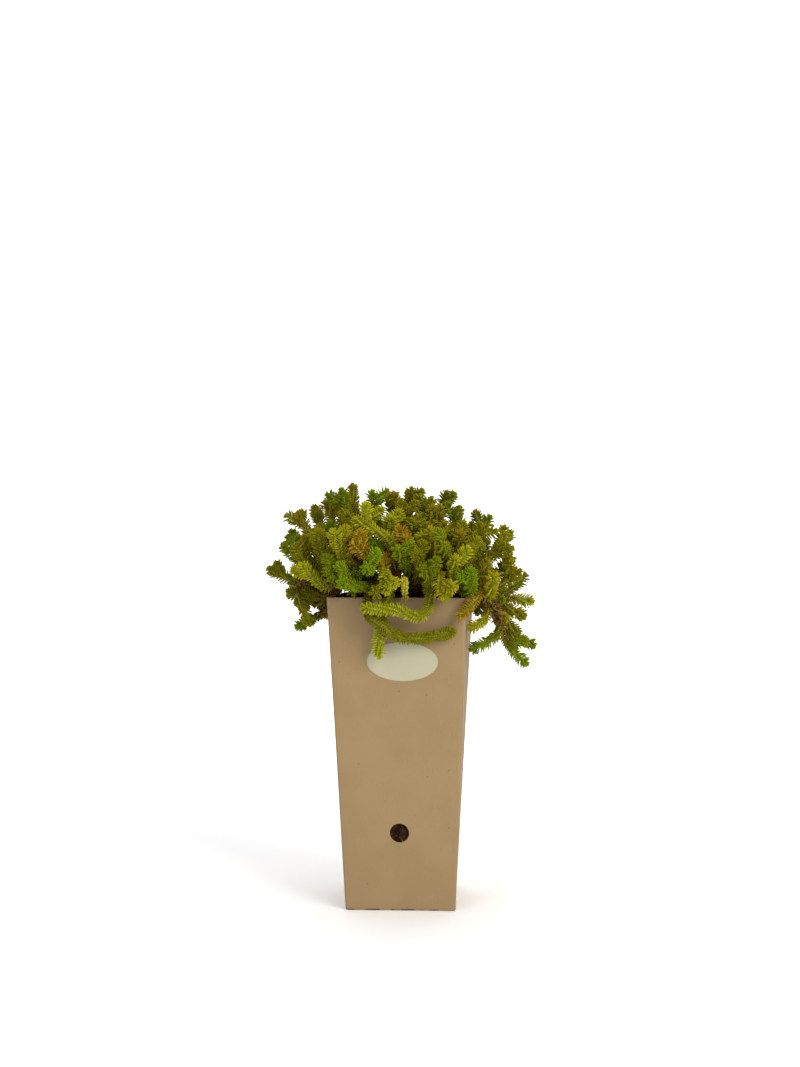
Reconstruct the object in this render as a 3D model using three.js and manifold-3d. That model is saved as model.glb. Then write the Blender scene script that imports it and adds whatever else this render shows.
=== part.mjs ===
// A potted tasteless stonecrop: a cushion of leafy stems in a tall, tapered, square carton pot.
// Millimetres, +Z up. The origin is the centre of the pot's foot, on the surface that it stands on.
// The wall with the label and the round hole is the front, and faces -Y.

import * as THREE from 'three';
import { mergeVertices } from 'three/addons/utils/BufferGeometryUtils.js';
import ManifoldModule from 'manifold-3d';

const { degToRad, lerp, clamp } = THREE.MathUtils;
const UP = new THREE.Vector3(0, 0, 1);

// The pot, folded from one sheet of solid board
const POT_HEIGHT = 224.5;
const FOOT_WIDTH = 79;
const RIM_WIDTH = 100;
const RIM_TURN = degToRad(-3); // the carton has settled into a slight twist over its height
const BOARD = 1.4;
const FOLD_RADIUS = 2;
const FOLD_STEPS = 3;
const WALL_LEVELS = 5;
const FOOT_BEVEL = 0.8;

// The round hole low in the front wall
const HOLE_HEIGHT = 56;
const HOLE_DIAMETER = 13.8;
const HOLE_SIDES = 20;

// The blank oval label on the front wall
const LABEL_HEIGHT = 179;
const LABEL_OFFSET = 3.8;
const LABEL_WIDTH = 51.4;
const LABEL_TALL = 28.2;
const LABEL_THICK = 0.4;
const LABEL_SIDES = 18; // to each half of the oval

// Soil, and the clearance between pieces that touch
const SEAT_GAP = 0.3;
const SOIL_MOUND = [[0, -1.5], [6, 1], [18, 2], [34, 2.6]]; // [in from the wall, over the rim]
const ROOT_DEPTH = 5;
const UPRIGHT_HEIGHT = 10; // over the rim; every shoot rises straight towards this point
const ROOT_HOLE_SIDES = 5;
const RIM_CROSSING = 12; // over the rim; a low shoot outside the pot passes over it at this height
const CROSSING_REACH = 4; // outside the rim

// The plant
const SEED = 6155;
const ROOT_ROWS = 7;
const ROOTS_IN_ROW = 8;
const ROOT_FIELD = 76; // side of the square of soil that the plants stand in
const ROOT_STRAY = 1.5;
const MOST_SHOOTS = 3; // of one plant
const HIGH_INWARD = 0.42; // share of a high shoot's distance from the middle at which its plant stands
const LOW_INWARD = 0.68;
const HIGH_SHOOT = 50; // over the rim
const PATH_CUTS = 3; // times that the corners of a stem's course are cut to round it
const STEM_RADIUS = 1.25;
const HEAD_RADIUS = 0.85;
const LEAF_LENGTH = 5.4;
const BUD_LENGTH = 2.4;
const LEAF_SHARES = [1, 0.85, 0.7, 0.55, 0.4, 0.25]; // of a leaf's length, tried in turn for a free one
const LEAF_SPREAD = degToRad(52); // between a leaf and its stem, halfway along the shoot
const TIP_SPREAD = degToRad(28);
const ROW_PITCH = 5;
const BARE_PITCH_ROWS = 2;
const UPRIGHT_ROWS = 2; // a plant's shoots share their stem up to here, clear of its hole's mouth
const LEAFY_EXTRA = 2; // leaves start this far below a shoot's first listed point
const LEAF_REACH = 4.4; // from the stem's centre line to the leaf tips

// How shoots find room beside each other
const LEAFY_ROUNDS = 160; // in these the leafy heads ask for room for their leaves
const STEM_ROUNDS = 110; // in these only the stems themselves have to pass clear of each other
const SETTLE_STEP = 0.5;
const STIFFNESS = 0.88; // share of a point's own move; the rest comes from its neighbours
const PLACED_YIELD = 0.35; // a shoot placed by hand gives way less than one placed by rule
const CLEARANCE = 0.5;
const OWN_TURN_ROWS = 4; // a shoot that curls back keeps clear of itself past this many rows

// Shoots that fill the sides, the back and the inside of the cushion by rule
const FILL_TRIES = 420;
const FILL_SPACING = 18.5;
const CUSHION = new THREE.Vector3(88, 80, 72); // half axes of the dome that the tips lie on
const CUSHION_BASE = POT_HEIGHT + 4;
const CUSHION_SPAN = [-0.42, 0.97]; // shares of the dome's height between which the tips lie
const TIP_DEPTH = [0.84, 0.98]; // shares of the way out to the dome
const GOLDEN_TURN = Math.PI * (3 - Math.sqrt(5));
const LOW_DROOP = degToRad(-20); // a head leans this much from the way straight out of the dome
const HIGH_LIFT = degToRad(22);
const HEAD_STRAY = degToRad(15);
const HEAD_SWING = degToRad(25);
const HEAD_LENGTH = [26, 36];
const FRONT_DEPTH = -35; // beyond this y, no tip that the rule places hangs lower than FRONT_LOWEST
const FRONT_LOWEST = POT_HEIGHT + 15;

// Shoots placed by hand. Each row runs from where the leaves begin to the tip.
const CROWN = [
  [[-67, -8, 256], [-76, -6, 285]],
  [[-56, 12, 261], [-67, 19, 289]],
  [[-48, -7, 264], [-57, -1, 293]],
  [[-44, 20, 267], [-52, 28, 296]],
  [[-37, -16, 271], [-43, -18, 300]],
  [[-34, 4, 274], [-38, 8, 305]],
  [[-31, -31, 258], [-38, -40, 282]],
  [[-23, -21, 258], [-26, -23, 286]],
  [[-20, 7, 269], [-23, 7, 300]],
  [[-9, -8, 267], [-9, -8, 298]],
  [[3, 5, 270], [5, 8, 302]],
  [[14, 19, 265], [14, 25, 295]],
  [[19, -11, 265], [21, -11, 295]],
  [[25, 11, 270], [33, 16, 299]],
  [[26, -27, 261], [27, -31, 289]],
  [[34, -3, 262], [42, -3, 288]],
  [[41, 16, 253], [50, 24, 277]],
];
const LEFT_SIDE = [
  [[-69, 11, 246], [-85, 18, 270]],
  [[-65, -33, 239], [-84, -30, 262]],
  [[-69, -13, 228], [-97, -13, 243]],
  [[-69, -29, 238], [-78, -30, 231], [-67, -29, 206]],
  [[-60, 3, 239], [-66, 9, 216]],
  [[-57, -45, 240], [-73, -49, 261]],
];
const RIGHT_SIDE = [
  [[51, 8, 256], [65, 11, 280]],
  [[48, -18, 251], [57, -21, 275]],
  [[59, 9, 248], [78, 16, 271]],
  [[53, -13, 246], [79, -14, 259]],
  [[62, 18, 228], [78, 24, 248]],
  [[65, -7, 225], [84, -6, 242]],
  [[72, 25, 220], [90, 30, 237]],
  [[68, 7, 223], [94, 8, 220]],
  [[61, -19, 222], [86, -20, 210]],
  [[66, 17, 218], [86, 22, 196]],
  [[68, -1, 212], [76, 2, 196], [96, 7, 187]],
  [[68, -23, 210], [76, -20, 191], [90, -16, 176]],
  [[68, -37, 218], [73, -35, 199], [51, -28, 186]],
  [[60, -31, 222], [64, -41, 211], [50, -44, 204]],
  [[62, 11, 229], [55, 17, 210]],
];
const FRONT = [
  [[-53, -48, 240], [-58, -59, 270]],
  [[-34, -60, 242], [-45, -74, 269]],
  [[-1, -60, 261], [-16, -65, 271], [-31, -62, 279]],
  [[-6, -30, 251], [-9, -42, 280]],
  [[-5, -60, 256], [-13, -71, 250], [-22, -77, 254], [-31, -80, 261]],
  [[-18, -53, 239], [-20, -87, 245]],
  [[-21, -59, 230], [-39, -82, 237]],
  [[-8, -52, 251], [-9, -71, 247], [-7, -74, 232]],
  [[4, -52, 239], [-1, -74, 258]],
  [[-46, -54, 229], [-67, -65, 247]],
  [[-39, -52, 230], [-49, -76, 243]],
  [[4, -56, 222], [3, -66, 238]],
  [[-12, -46, 232], [-14, -75, 230]],
  [[29, -51, 246], [28, -69, 239], [31, -73, 226]],
  [[39, -44, 240], [37, -58, 225]],
  [[57, -42, 224], [62, -61, 242]],
  [[47, -48, 224], [50, -66, 243]],
  [[41, -50, 230], [39, -72, 251]],
  [[29, -45, 248], [23, -61, 270]],
  [[36, -32, 247], [34, -46, 273]],
  [[41, -38, 244], [42, -58, 267]],
  [[45, -43, 237], [49, -58, 258]],
  [[32, -49, 246], [30, -81, 260]],
  [[15, -51, 239], [14, -79, 255]],
  [[10, -32, 252], [9, -42, 279]],
  [[19, -31, 251], [17, -45, 275]],
  [[10, -42, 244], [4, -62, 265]],
  [[22, -51, 230], [18, -81, 246]],
];
const OVER_FRONT_RIM = [
  [[20, -51, 236], [24, -61, 223], [18, -65, 212], [8, -67, 213], [-2, -67, 217], [-13, -69, 217],
    [-24, -69, 218]],
  [[-9, -53, 229], [-14, -57, 215], [-15, -58, 198], [-15, -57, 184]],
  [[-23, -59, 225], [-21, -65, 212], [-11, -67, 208], [-1, -60, 197], [18, -55, 196], [38, -53, 201]],
  [[60, -47, 230], [43, -55, 211]],
];

// Looks
const BOARD_LOOK = { color: 0xa68c66, roughness: 0.85, metalness: 0 };
const PAPER_LOOK = { color: 0xcdc8a8, roughness: 0.6, metalness: 0 };
const SOIL_LOOK = { color: 0x3a2a1d, roughness: 0.95, metalness: 0 };
const LEAF_COLOURS = [0x7c8a1c, 0x6a7d18, 0x8f961f, 0x7a6d1e, 0x5c7a1a];
const LEAF_LOOK = { roughness: 0.5, metalness: 0 };

const wasm = await ManifoldModule();
wasm.setup();

// A random draw between 0 and 1 that gives the same run of numbers for the same seed.
function randomFrom(seed) {
  let state = seed;
  return () => {
    state = (Math.imul(state, 1664525) + 1013904223) >>> 0;
    return state / 4294967296;
  };
}

// Solids

function solidOf(geometry) {
  const bare = geometry.clone();
  bare.deleteAttribute('normal');
  bare.deleteAttribute('uv');
  const merged = mergeVertices(bare, 1e-4);
  return new wasm.Manifold(new wasm.Mesh({
    numProp: 3,
    vertProperties: new Float32Array(merged.attributes.position.array),
    triVerts: new Uint32Array(merged.index.array),
  }));
}

function geometryOf(solid) {
  const { vertProperties, triVerts } = solid.getMesh();
  const geometry = new THREE.BufferGeometry();
  geometry.setAttribute('position', new THREE.BufferAttribute(vertProperties, 3));
  geometry.setIndex(new THREE.BufferAttribute(triVerts, 1));
  geometry.computeVertexNormals();
  return geometry;
}

// The largest body of a joined solid, without any hollow that joining has sealed inside it.
function wholeBody(solid) {
  return solid.decompose().reduce((largest, body) => (body.volume() > largest.volume() ? body : largest));
}

function meshOf(name, geometry, look) {
  const mesh = new THREE.Mesh(geometry, new THREE.MeshStandardMaterial(look));
  mesh.name = name;
  return mesh;
}

function geometryFrom(points, triangles) {
  const geometry = new THREE.BufferGeometry().setFromPoints(points);
  geometry.setIndex(triangles);
  return geometry;
}

// A closed body through loops of equally many points, each turning left when seen from the next one.
function loft(loops) {
  const points = loops.flat();
  const count = loops[0].length;
  const triangles = [];
  for (let level = 0; level + 1 < loops.length; level++) {
    for (let i = 0; i < count; i++) {
      const a = level * count + i;
      const b = level * count + (i + 1) % count;
      triangles.push(a, b, b + count, a, b + count, a + count);
    }
  }
  const last = (loops.length - 1) * count;
  for (let i = 1; i + 1 < count; i++) {
    triangles.push(0, i + 1, i, last, last + i, last + i + 1);
  }
  return geometryFrom(points, triangles);
}

// Pot, label and soil

function halfWidth(z) {
  return lerp(FOOT_WIDTH, RIM_WIDTH, clamp(z / POT_HEIGHT, 0, 1)) / 2;
}

function turnAt(z) {
  return RIM_TURN * clamp(z / POT_HEIGHT, 0, 1);
}

// The pot's square section with folded corners, at height z on its walls and moved in by inset.
function wallLoop(z, inset, liftedTo = z) {
  const half = halfWidth(z) - inset;
  const radius = Math.max(FOLD_RADIUS - inset, FOLD_RADIUS / 4);
  const loop = [];
  for (let corner = 0; corner < 4; corner++) {
    for (let step = 0; step <= FOLD_STEPS; step++) {
      const quarter = Math.PI / 2;
      const middle = corner * quarter + quarter / 2 + turnAt(z);
      const angle = (corner + step / FOLD_STEPS) * quarter + turnAt(z);
      const reach = (half - radius) * Math.SQRT2;
      loop.push(new THREE.Vector3(
        reach * Math.cos(middle) + radius * Math.cos(angle),
        reach * Math.sin(middle) + radius * Math.sin(angle),
        liftedTo,
      ));
    }
  }
  return loop;
}

function wallHeights(lowest) {
  const heights = [lowest];
  for (let level = 1; level <= WALL_LEVELS; level++) heights.push(POT_HEIGHT * level / WALL_LEVELS);
  return heights;
}

function potGeometry() {
  const outside = wallHeights(FOOT_BEVEL).map((z) => wallLoop(z, 0));
  const inside = wallHeights(BOARD).map((z) => wallLoop(z, BOARD));
  const carton = solidOf(loft([wallLoop(0, FOOT_BEVEL), ...outside]));
  const room = solidOf(loft([...inside, wallLoop(POT_HEIGHT, BOARD, POT_HEIGHT + BOARD)]));
  const cutter = new THREE.CylinderGeometry(HOLE_DIAMETER / 2, HOLE_DIAMETER / 2, FOOT_WIDTH / 4, HOLE_SIDES);
  cutter.translate(0, -halfWidth(HOLE_HEIGHT), 0);
  cutter.rotateZ(turnAt(HOLE_HEIGHT));
  cutter.translate(0, 0, HOLE_HEIGHT);
  return geometryOf(carton.subtract(room).subtract(solidOf(cutter)));
}

// How far the soil stands over the rim's height at a distance in from the inner wall.
function moundRise(inward) {
  for (let i = 1; i < SOIL_MOUND.length; i++) {
    const [from, low] = SOIL_MOUND[i - 1];
    const [to, high] = SOIL_MOUND[i];
    if (inward <= to) return lerp(low, high, (inward - from) / (to - from));
  }
  return SOIL_MOUND[SOIL_MOUND.length - 1][1];
}

function soilGeometry(roots) {
  const wall = BOARD + SEAT_GAP;
  const sides = wallHeights(wall).slice(0, -1).map((z) => wallLoop(z, wall));
  const mound = SOIL_MOUND.map(([inward, rise]) => wallLoop(POT_HEIGHT, wall + inward, POT_HEIGHT + rise));
  let soil = solidOf(loft([...sides, ...mound]));
  const radius = (STEM_RADIUS + SEAT_GAP) / Math.cos(Math.PI / ROOT_HOLE_SIDES);
  const length = ROOT_DEPTH * 4;
  for (const root of roots) {
    const hole = new THREE.CylinderGeometry(radius, radius, length, ROOT_HOLE_SIDES);
    hole.rotateX(Math.PI / 2);
    hole.translate(root.x, root.y, POT_HEIGHT - ROOT_DEPTH - SEAT_GAP + length / 2);
    soil = soil.subtract(solidOf(hole));
  }
  return geometryOf(soil);
}

// The label, lying on the leaning front wall.
function placedLabel() {
  const outline = new THREE.Shape().absellipse(0, 0, LABEL_WIDTH / 2, LABEL_TALL / 2, 0, 2 * Math.PI);
  const geometry = new THREE.ExtrudeGeometry(outline, {
    depth: LABEL_THICK, bevelEnabled: false, curveSegments: LABEL_SIDES,
  });
  const turn = turnAt(LABEL_HEIGHT);
  const lean = Math.atan((RIM_WIDTH - FOOT_WIDTH) / 2 / POT_HEIGHT);
  const across = new THREE.Vector3(Math.cos(turn), Math.sin(turn), 0);
  const outward = direction(turn - Math.PI / 2, -lean);
  const upward = new THREE.Vector3().crossVectors(outward, across);
  const mesh = meshOf('label', geometry, PAPER_LOOK);
  mesh.quaternion.setFromRotationMatrix(new THREE.Matrix4().makeBasis(across, upward, outward));
  mesh.position.set(LABEL_OFFSET, -halfWidth(LABEL_HEIGHT), LABEL_HEIGHT).applyAxisAngle(UP, turn);
  mesh.position.addScaledVector(outward, SEAT_GAP);
  return mesh;
}

// Where the shoots go

// Distance from a point to the pot and its soil, and the way that leads clear of them.
function potClearance(p) {
  const turn = turnAt(p.z);
  const u = p.x * Math.cos(turn) + p.y * Math.sin(turn);
  const v = p.y * Math.cos(turn) - p.x * Math.sin(turn);
  const half = halfWidth(p.z);
  const inward = half - Math.max(Math.abs(u), Math.abs(v)) - BOARD;
  const ground = POT_HEIGHT + (inward > 0 ? moundRise(inward) : 0);
  const away = new THREE.Vector3(
    Math.sign(u) * Math.max(Math.abs(u) - half, 0),
    Math.sign(v) * Math.max(Math.abs(v) - half, 0),
    Math.max(p.z - ground, 0),
  );
  const distance = away.length();
  if (distance < 1e-6) return { distance: p.z - ground, away: UP.clone() };
  away.divideScalar(distance).applyAxisAngle(UP, turn);
  return { distance, away };
}

function direction(turn, rise) {
  return new THREE.Vector3(Math.cos(turn) * Math.cos(rise), Math.sin(turn) * Math.cos(rise), Math.sin(rise));
}

function eitherSide(most, random) {
  return most * (2 * random() - 1);
}

// Rule for the shoots that the hand-placed ones leave room for: tips spread evenly over a dome,
// heads turned out and up, the low ones hanging over the rim.
function fillShoots(placed, random) {
  const tips = placed.map((points) => points[points.length - 1]);
  const shoots = [];
  for (let i = 0; i < FILL_TRIES; i++) {
    const turn = i * GOLDEN_TURN;
    const rise = Math.asin(lerp(...CUSHION_SPAN, (i + 0.5) / FILL_TRIES));
    const tip = direction(turn, rise).multiply(CUSHION).multiplyScalar(lerp(...TIP_DEPTH, random()));
    tip.z += CUSHION_BASE;
    const headRise = rise + (rise < 0 ? LOW_DROOP : HIGH_LIFT) + eitherSide(HEAD_STRAY, random);
    const heading = direction(turn + eitherSide(HEAD_SWING, random), headRise);
    const base = tip.clone().addScaledVector(heading, -lerp(...HEAD_LENGTH, random()));
    if (tip.y < FRONT_DEPTH && tip.z < FRONT_LOWEST) continue;
    if (tips.some((other) => tip.distanceTo(other) < FILL_SPACING)) continue;
    if (potClearance(tip).distance < LEAF_REACH || potClearance(base).distance < LEAF_REACH) continue;
    tips.push(tip);
    shoots.push([base, tip]);
  }
  return shoots;
}

// Where the plants stand in the soil: staggered rows, each a little out of line.
function rootPlaces(random) {
  const places = [];
  for (let row = 0; row < ROOT_ROWS; row++) {
    for (let i = 0; i < ROOTS_IN_ROW; i++) {
      const x = ((i + 0.25 + 0.5 * (row % 2)) / ROOTS_IN_ROW - 0.5) * ROOT_FIELD;
      const y = ((row + 0.5) / ROOT_ROWS - 0.5) * ROOT_FIELD;
      places.push(new THREE.Vector2(x + ROOT_STRAY * (random() - 0.5), y + ROOT_STRAY * (random() - 0.5)));
    }
  }
  return places;
}

// Gives every shoot a plant near below it. A low shoot comes from further out than a high one.
function groupPlants(shoots, places) {
  const choices = shoots.flatMap((shoot) => {
    const [first] = shoot.points;
    const inward = lerp(LOW_INWARD, HIGH_INWARD, clamp((first.z - POT_HEIGHT) / HIGH_SHOOT, 0, 1));
    const below = new THREE.Vector2(first.x, first.y).multiplyScalar(inward);
    return places.map((place, i) => ({ shoot, i, distance: below.distanceTo(place) }));
  });
  choices.sort((a, b) => a.distance - b.distance);
  const plants = places.map((root) => ({ root, shoots: [] }));
  const housed = new Set();
  for (const { shoot, i } of choices) {
    if (housed.has(shoot) || plants[i].shoots.length === MOST_SHOOTS) continue;
    plants[i].shoots.push(shoot);
    housed.add(shoot);
  }
  return plants.filter(({ shoots: own }) => own.length > 0);
}

// Rounds a run of points by cutting its corners, with both ends kept.
function roundedPath(points) {
  let path = points;
  for (let cut = 0; cut < PATH_CUTS; cut++) {
    const next = [path[0]];
    for (let i = 0; i + 1 < path.length; i++) {
      next.push(path[i].clone().lerp(path[i + 1], 0.25), path[i].clone().lerp(path[i + 1], 0.75));
    }
    path = [...next, path[path.length - 1]];
  }
  return path;
}

// Points at equal steps along a path, each as near one row of leaves apart as fits.
function evenPath(path) {
  const along = [0];
  for (let i = 1; i < path.length; i++) along.push(along[i - 1] + path[i].distanceTo(path[i - 1]));
  const total = along[along.length - 1];
  const count = Math.round(total / ROW_PITCH);
  const points = [];
  for (let step = 0, i = 1; step <= count; step++) {
    const at = total * step / count;
    while (i + 1 < path.length && along[i] < at) i++;
    points.push(path[i - 1].clone().lerp(path[i], (at - along[i - 1]) / (along[i] - along[i - 1])));
  }
  return points;
}

// A shoot's centre line from its root to its tip, over the rim where it has to be.
function centreLine(root, points) {
  const stem = [
    new THREE.Vector3(root.x, root.y, POT_HEIGHT - ROOT_DEPTH),
    new THREE.Vector3(root.x, root.y, POT_HEIGHT + UPRIGHT_HEIGHT),
  ];
  const first = points[0];
  const crossing = first.clone();
  crossing.multiplyScalar((RIM_WIDTH / 2 + CROSSING_REACH) / Math.max(Math.abs(first.x), Math.abs(first.y)));
  crossing.z = POT_HEIGHT + RIM_CROSSING;
  if (first.z < POT_HEIGHT + UPRIGHT_HEIGHT && potClearance(first).distance > 0) stem.push(crossing);
  return evenPath(roundedPath([...stem, ...points]));
}

// The nearest points of two straight runs, as shares of their lengths, and the way from b to a there.
function nearestBetween(a0, a1, b0, b1) {
  const runA = a1.clone().sub(a0);
  const runB = b1.clone().sub(b0);
  const between = a0.clone().sub(b0);
  const aa = runA.lengthSq();
  const bb = runB.lengthSq();
  const ab = runA.dot(runB);
  const spread = aa * bb - ab * ab;
  let s = spread > 1e-9 ? clamp((ab * runB.dot(between) - bb * runA.dot(between)) / spread, 0, 1) : 0.5;
  const t = clamp((ab * s + runB.dot(between)) / bb, 0, 1);
  s = clamp((ab * t - runA.dot(between)) / aa, 0, 1);
  return { s, t, apart: between.addScaledVector(runA, s).addScaledVector(runB, -t) };
}

// Every stretch of every shoot, with the room that it asks for around its centre line.
function stretchesOf(shoots, leafyReach) {
  return shoots.flatMap((shoot) => shoot.line.slice(1).map((point, i) => ({
    shoot,
    i,
    reach: i >= shoot.line.length - 2 - shoot.rows ? leafyReach : STEM_RADIUS + CLEARANCE,
  })));
}

// Pushes neighbouring shoots apart, and all of them off the pot, until they have room.
function settle(shoots, rounds, leafyReach) {
  const stretches = stretchesOf(shoots, leafyReach);
  for (let round = 0; round < rounds; round++) {
    for (const { pushes } of shoots) pushes.forEach((push) => push.set(0, 0, 0));
    for (let m = 0; m < stretches.length; m++) {
      const a = stretches[m];
      const [a0, a1] = [a.shoot.line[a.i], a.shoot.line[a.i + 1]];
      for (let n = m + 1; n < stretches.length; n++) {
        const b = stretches[n];
        const [b0, b1] = [b.shoot.line[b.i], b.shoot.line[b.i + 1]];
        const far = a.reach + b.reach + 2 * ROW_PITCH;
        if (a.shoot === b.shoot || Math.abs(a0.x - b0.x) > far || Math.abs(a0.y - b0.y) > far) continue;
        if (Math.abs(a0.z - b0.z) > far) continue;
        const { s, t, apart } = nearestBetween(a0, a1, b0, b1);
        const distance = apart.length();
        const lack = a.reach + b.reach - distance;
        if (lack <= 0 || distance < 1e-6) continue;
        apart.multiplyScalar(lack / distance / (a.shoot.yields + b.shoot.yields));
        a.shoot.pushes[a.i].addScaledVector(apart, a.shoot.yields * (1 - s));
        a.shoot.pushes[a.i + 1].addScaledVector(apart, a.shoot.yields * s);
        b.shoot.pushes[b.i].addScaledVector(apart, -b.shoot.yields * (1 - t));
        b.shoot.pushes[b.i + 1].addScaledVector(apart, -b.shoot.yields * t);
      }
    }
    for (const shoot of shoots) moveShoot(shoot);
  }
}

// Three neighbouring moves blended, the middle one keeping its share.
function blended(moves, i, own) {
  const side = (1 - own) / 2;
  return moves[i].clone().multiplyScalar(own)
    .addScaledVector(moves[Math.max(i - 1, 0)], side)
    .addScaledVector(moves[Math.min(i + 1, moves.length - 1)], side);
}

// Moves a shoot by its pushes, kept smooth along it so that it bends and doesn't kink, and off the pot.
function moveShoot(shoot) {
  const last = shoot.line.length - 1;
  const moved = shoot.moved.map((move, i) => {
    if (i <= UPRIGHT_ROWS) return move;
    return move.clone().add(blended(shoot.pushes, i, 0.6).clampLength(0, SETTLE_STEP));
  });
  shoot.moved = moved.map((move, i) => blended(moved, i, i > UPRIGHT_ROWS ? STIFFNESS : 1));
  shoot.line.forEach((point, i) => {
    point.copy(shoot.rest[i]).add(shoot.moved[i]);
    if (i <= UPRIGHT_ROWS) return;
    const room = (i > last - shoot.rows - 2 ? LEAF_REACH : STEM_RADIUS) + CLEARANCE;
    const { distance, away } = potClearance(point);
    if (distance >= room) return;
    shoot.moved[i].addScaledVector(away, Math.min(room - distance, 2 * SETTLE_STEP));
    point.copy(shoot.rest[i]).add(shoot.moved[i]);
  });
}

// One leafy shoot

// Directions across a line at each of its points, carried along without twisting.
function crossFrames(line) {
  let across = new THREE.Vector3(1, 0.3, 0.1).normalize();
  return line.map((point, i) => {
    const before = line[Math.max(i - 1, 0)];
    const after = line[Math.min(i + 1, line.length - 1)];
    const forward = after.clone().sub(before).normalize();
    across = across.clone().addScaledVector(forward, -across.dot(forward)).normalize();
    return { point, forward, across, side: new THREE.Vector3().crossVectors(forward, across) };
  });
}

function distanceToLine(point, line, from, to) {
  let nearest = Infinity;
  for (let i = Math.max(from, 0); i < Math.min(to, line.length - 1); i++) {
    const run = line[i + 1].clone().sub(line[i]);
    const along = clamp(point.clone().sub(line[i]).dot(run) / run.lengthSq(), 0, 1);
    nearest = Math.min(nearest, run.multiplyScalar(along).add(line[i]).distanceTo(point));
  }
  return nearest;
}

// Whether a leaf tip stays on its own side of the middle between its shoot and every other one.
function isClear(point, shoot, index, shoots) {
  if (potClearance(point).distance < CLEARANCE + LABEL_THICK) return false;
  const own = distanceToLine(point, shoot.line, index - 1, index + 2);
  for (const other of shoots) {
    for (let i = 0; i + 1 < other.line.length; i++) {
      if (other === shoot && Math.abs(i - index) < OWN_TURN_ROWS) continue;
      if (other.line[i].distanceTo(point) > 3 * LEAF_REACH) continue;
      const isBare = i < other.line.length - 2 - other.rows;
      const need = isBare ? STEM_RADIUS + CLEARANCE : own + CLEARANCE;
      if (distanceToLine(point, other.line, i, i + 1) < need) return false;
    }
  }
  return true;
}

// The tip of a leaf or bud, at the longest of a few lengths that stays out of the other shoots, or none.
function leafTip(from, heading, length, shoot, index, shoots) {
  for (const share of LEAF_SHARES) {
    const tip = from.clone().addScaledVector(heading, length * share);
    if (isClear(tip, shoot, index, shoots)) return tip;
  }
  return null;
}

// The faces of one triangle drawn out to a tip, whose point is added, or the flat one without a tip.
function raised(a, b, c, tip, points) {
  if (!tip) return [a, b, c];
  const end = points.push(tip) - 1;
  return [a, b, end, b, c, end, c, a, end];
}

// The point that carries the next ring: every one at the first bend and among the leaves.
function nextRing(i, bare) {
  if (i < UPRIGHT_ROWS) return UPRIGHT_ROWS;
  return i < UPRIGHT_ROWS + 2 || i >= bare ? i + 1 : Math.min(i + BARE_PITCH_ROWS, bare);
}

// A three-sided stem whose rings are turned by a sixth from one to the next, which puts a triangle
// for a leaf on each third of every ring and the leaves in six rows.
function shootGeometry(shoot, shoots, start) {
  const frames = crossFrames(shoot.line);
  const last = shoot.line.length - 1;
  const bare = last - shoot.rows;
  const rings = [];
  for (let i = start; i <= last; i = nextRing(i, bare)) rings.push(i);
  const points = [];
  const triangles = [];
  rings.forEach((index, ring) => {
    const { point, across, side } = frames[index];
    const radius = lerp(STEM_RADIUS, HEAD_RADIUS, clamp(1 - (last - index) / 3, 0, 1));
    for (let k = 0; k < 3; k++) {
      const angle = (2 * k + ring) * Math.PI / 3 + start;
      points.push(point.clone().addScaledVector(across, radius * Math.cos(angle))
        .addScaledVector(side, radius * Math.sin(angle)));
    }
  });
  triangles.push(0, 2, 1);
  for (let ring = 0; ring + 1 < rings.length; ring++) {
    const index = rings[ring];
    const { point, forward } = frames[index];
    for (let k = 0; k < 3; k++) {
      const left = 3 * ring + k;
      const right = 3 * ring + (k + 1) % 3;
      const top = left + 3;
      const nextTop = right + 3;
      triangles.push(right, nextTop, top);
      const middle = points[left].clone().add(points[right]).add(points[top]).divideScalar(3);
      const outward = middle.clone().sub(point);
      outward.addScaledVector(forward, -outward.dot(forward)).normalize();
      const spread = lerp(LEAF_SPREAD, TIP_SPREAD, clamp(1 - (last - index - 1) / 2, 0, 1));
      const heading = outward.multiplyScalar(Math.sin(spread)).addScaledVector(forward, Math.cos(spread));
      const tip = index < bare ? null : leafTip(middle, heading, LEAF_LENGTH, shoot, index, shoots);
      triangles.push(...raised(left, right, top, tip, points));
    }
  }
  const end = 3 * (rings.length - 1);
  const bud = leafTip(frames[last].point, frames[last].forward, BUD_LENGTH, shoot, last, shoots);
  triangles.push(...raised(end, end + 1, end + 2, bud, points));
  return geometryFrom(points, triangles);
}

// The whole object

function shootAlong(root, points, byHand) {
  const line = centreLine(root, points);
  let listed = LEAFY_EXTRA;
  for (let i = 1; i < points.length; i++) listed += points[i].distanceTo(points[i - 1]);
  return {
    line,
    rest: line.map((point) => point.clone()),
    moved: line.map(() => new THREE.Vector3()),
    pushes: line.map(() => new THREE.Vector3()),
    rows: Math.round(listed / ROW_PITCH),
    yields: byHand ? PLACED_YIELD : 1,
  };
}

function growPlants() {
  const random = randomFrom(SEED);
  const placed = [...OVER_FRONT_RIM, ...FRONT, ...RIGHT_SIDE, ...LEFT_SIDE, ...CROWN]
    .map((points) => points.map(([x, y, z]) => new THREE.Vector3(x, y, z)));
  const filled = fillShoots(placed, random);
  const plants = groupPlants([
    ...placed.map((points) => ({ points, byHand: true })),
    ...filled.map((points) => ({ points, byHand: false })),
  ], rootPlaces(random));
  for (const plant of plants) {
    plant.shoots = plant.shoots.map(({ points, byHand }) => shootAlong(plant.root, points, byHand));
  }
  const shoots = plants.flatMap((plant) => plant.shoots);
  settle(shoots, LEAFY_ROUNDS, LEAF_REACH);
  settle(shoots, STEM_ROUNDS, STEM_RADIUS + 2 * CLEARANCE);
  for (const shoot of shoots) shoot.line = evenPath(shoot.line);
  return plants;
}

const plants = growPlants();
const everyShoot = plants.flatMap(({ shoots }) => shoots);

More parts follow.
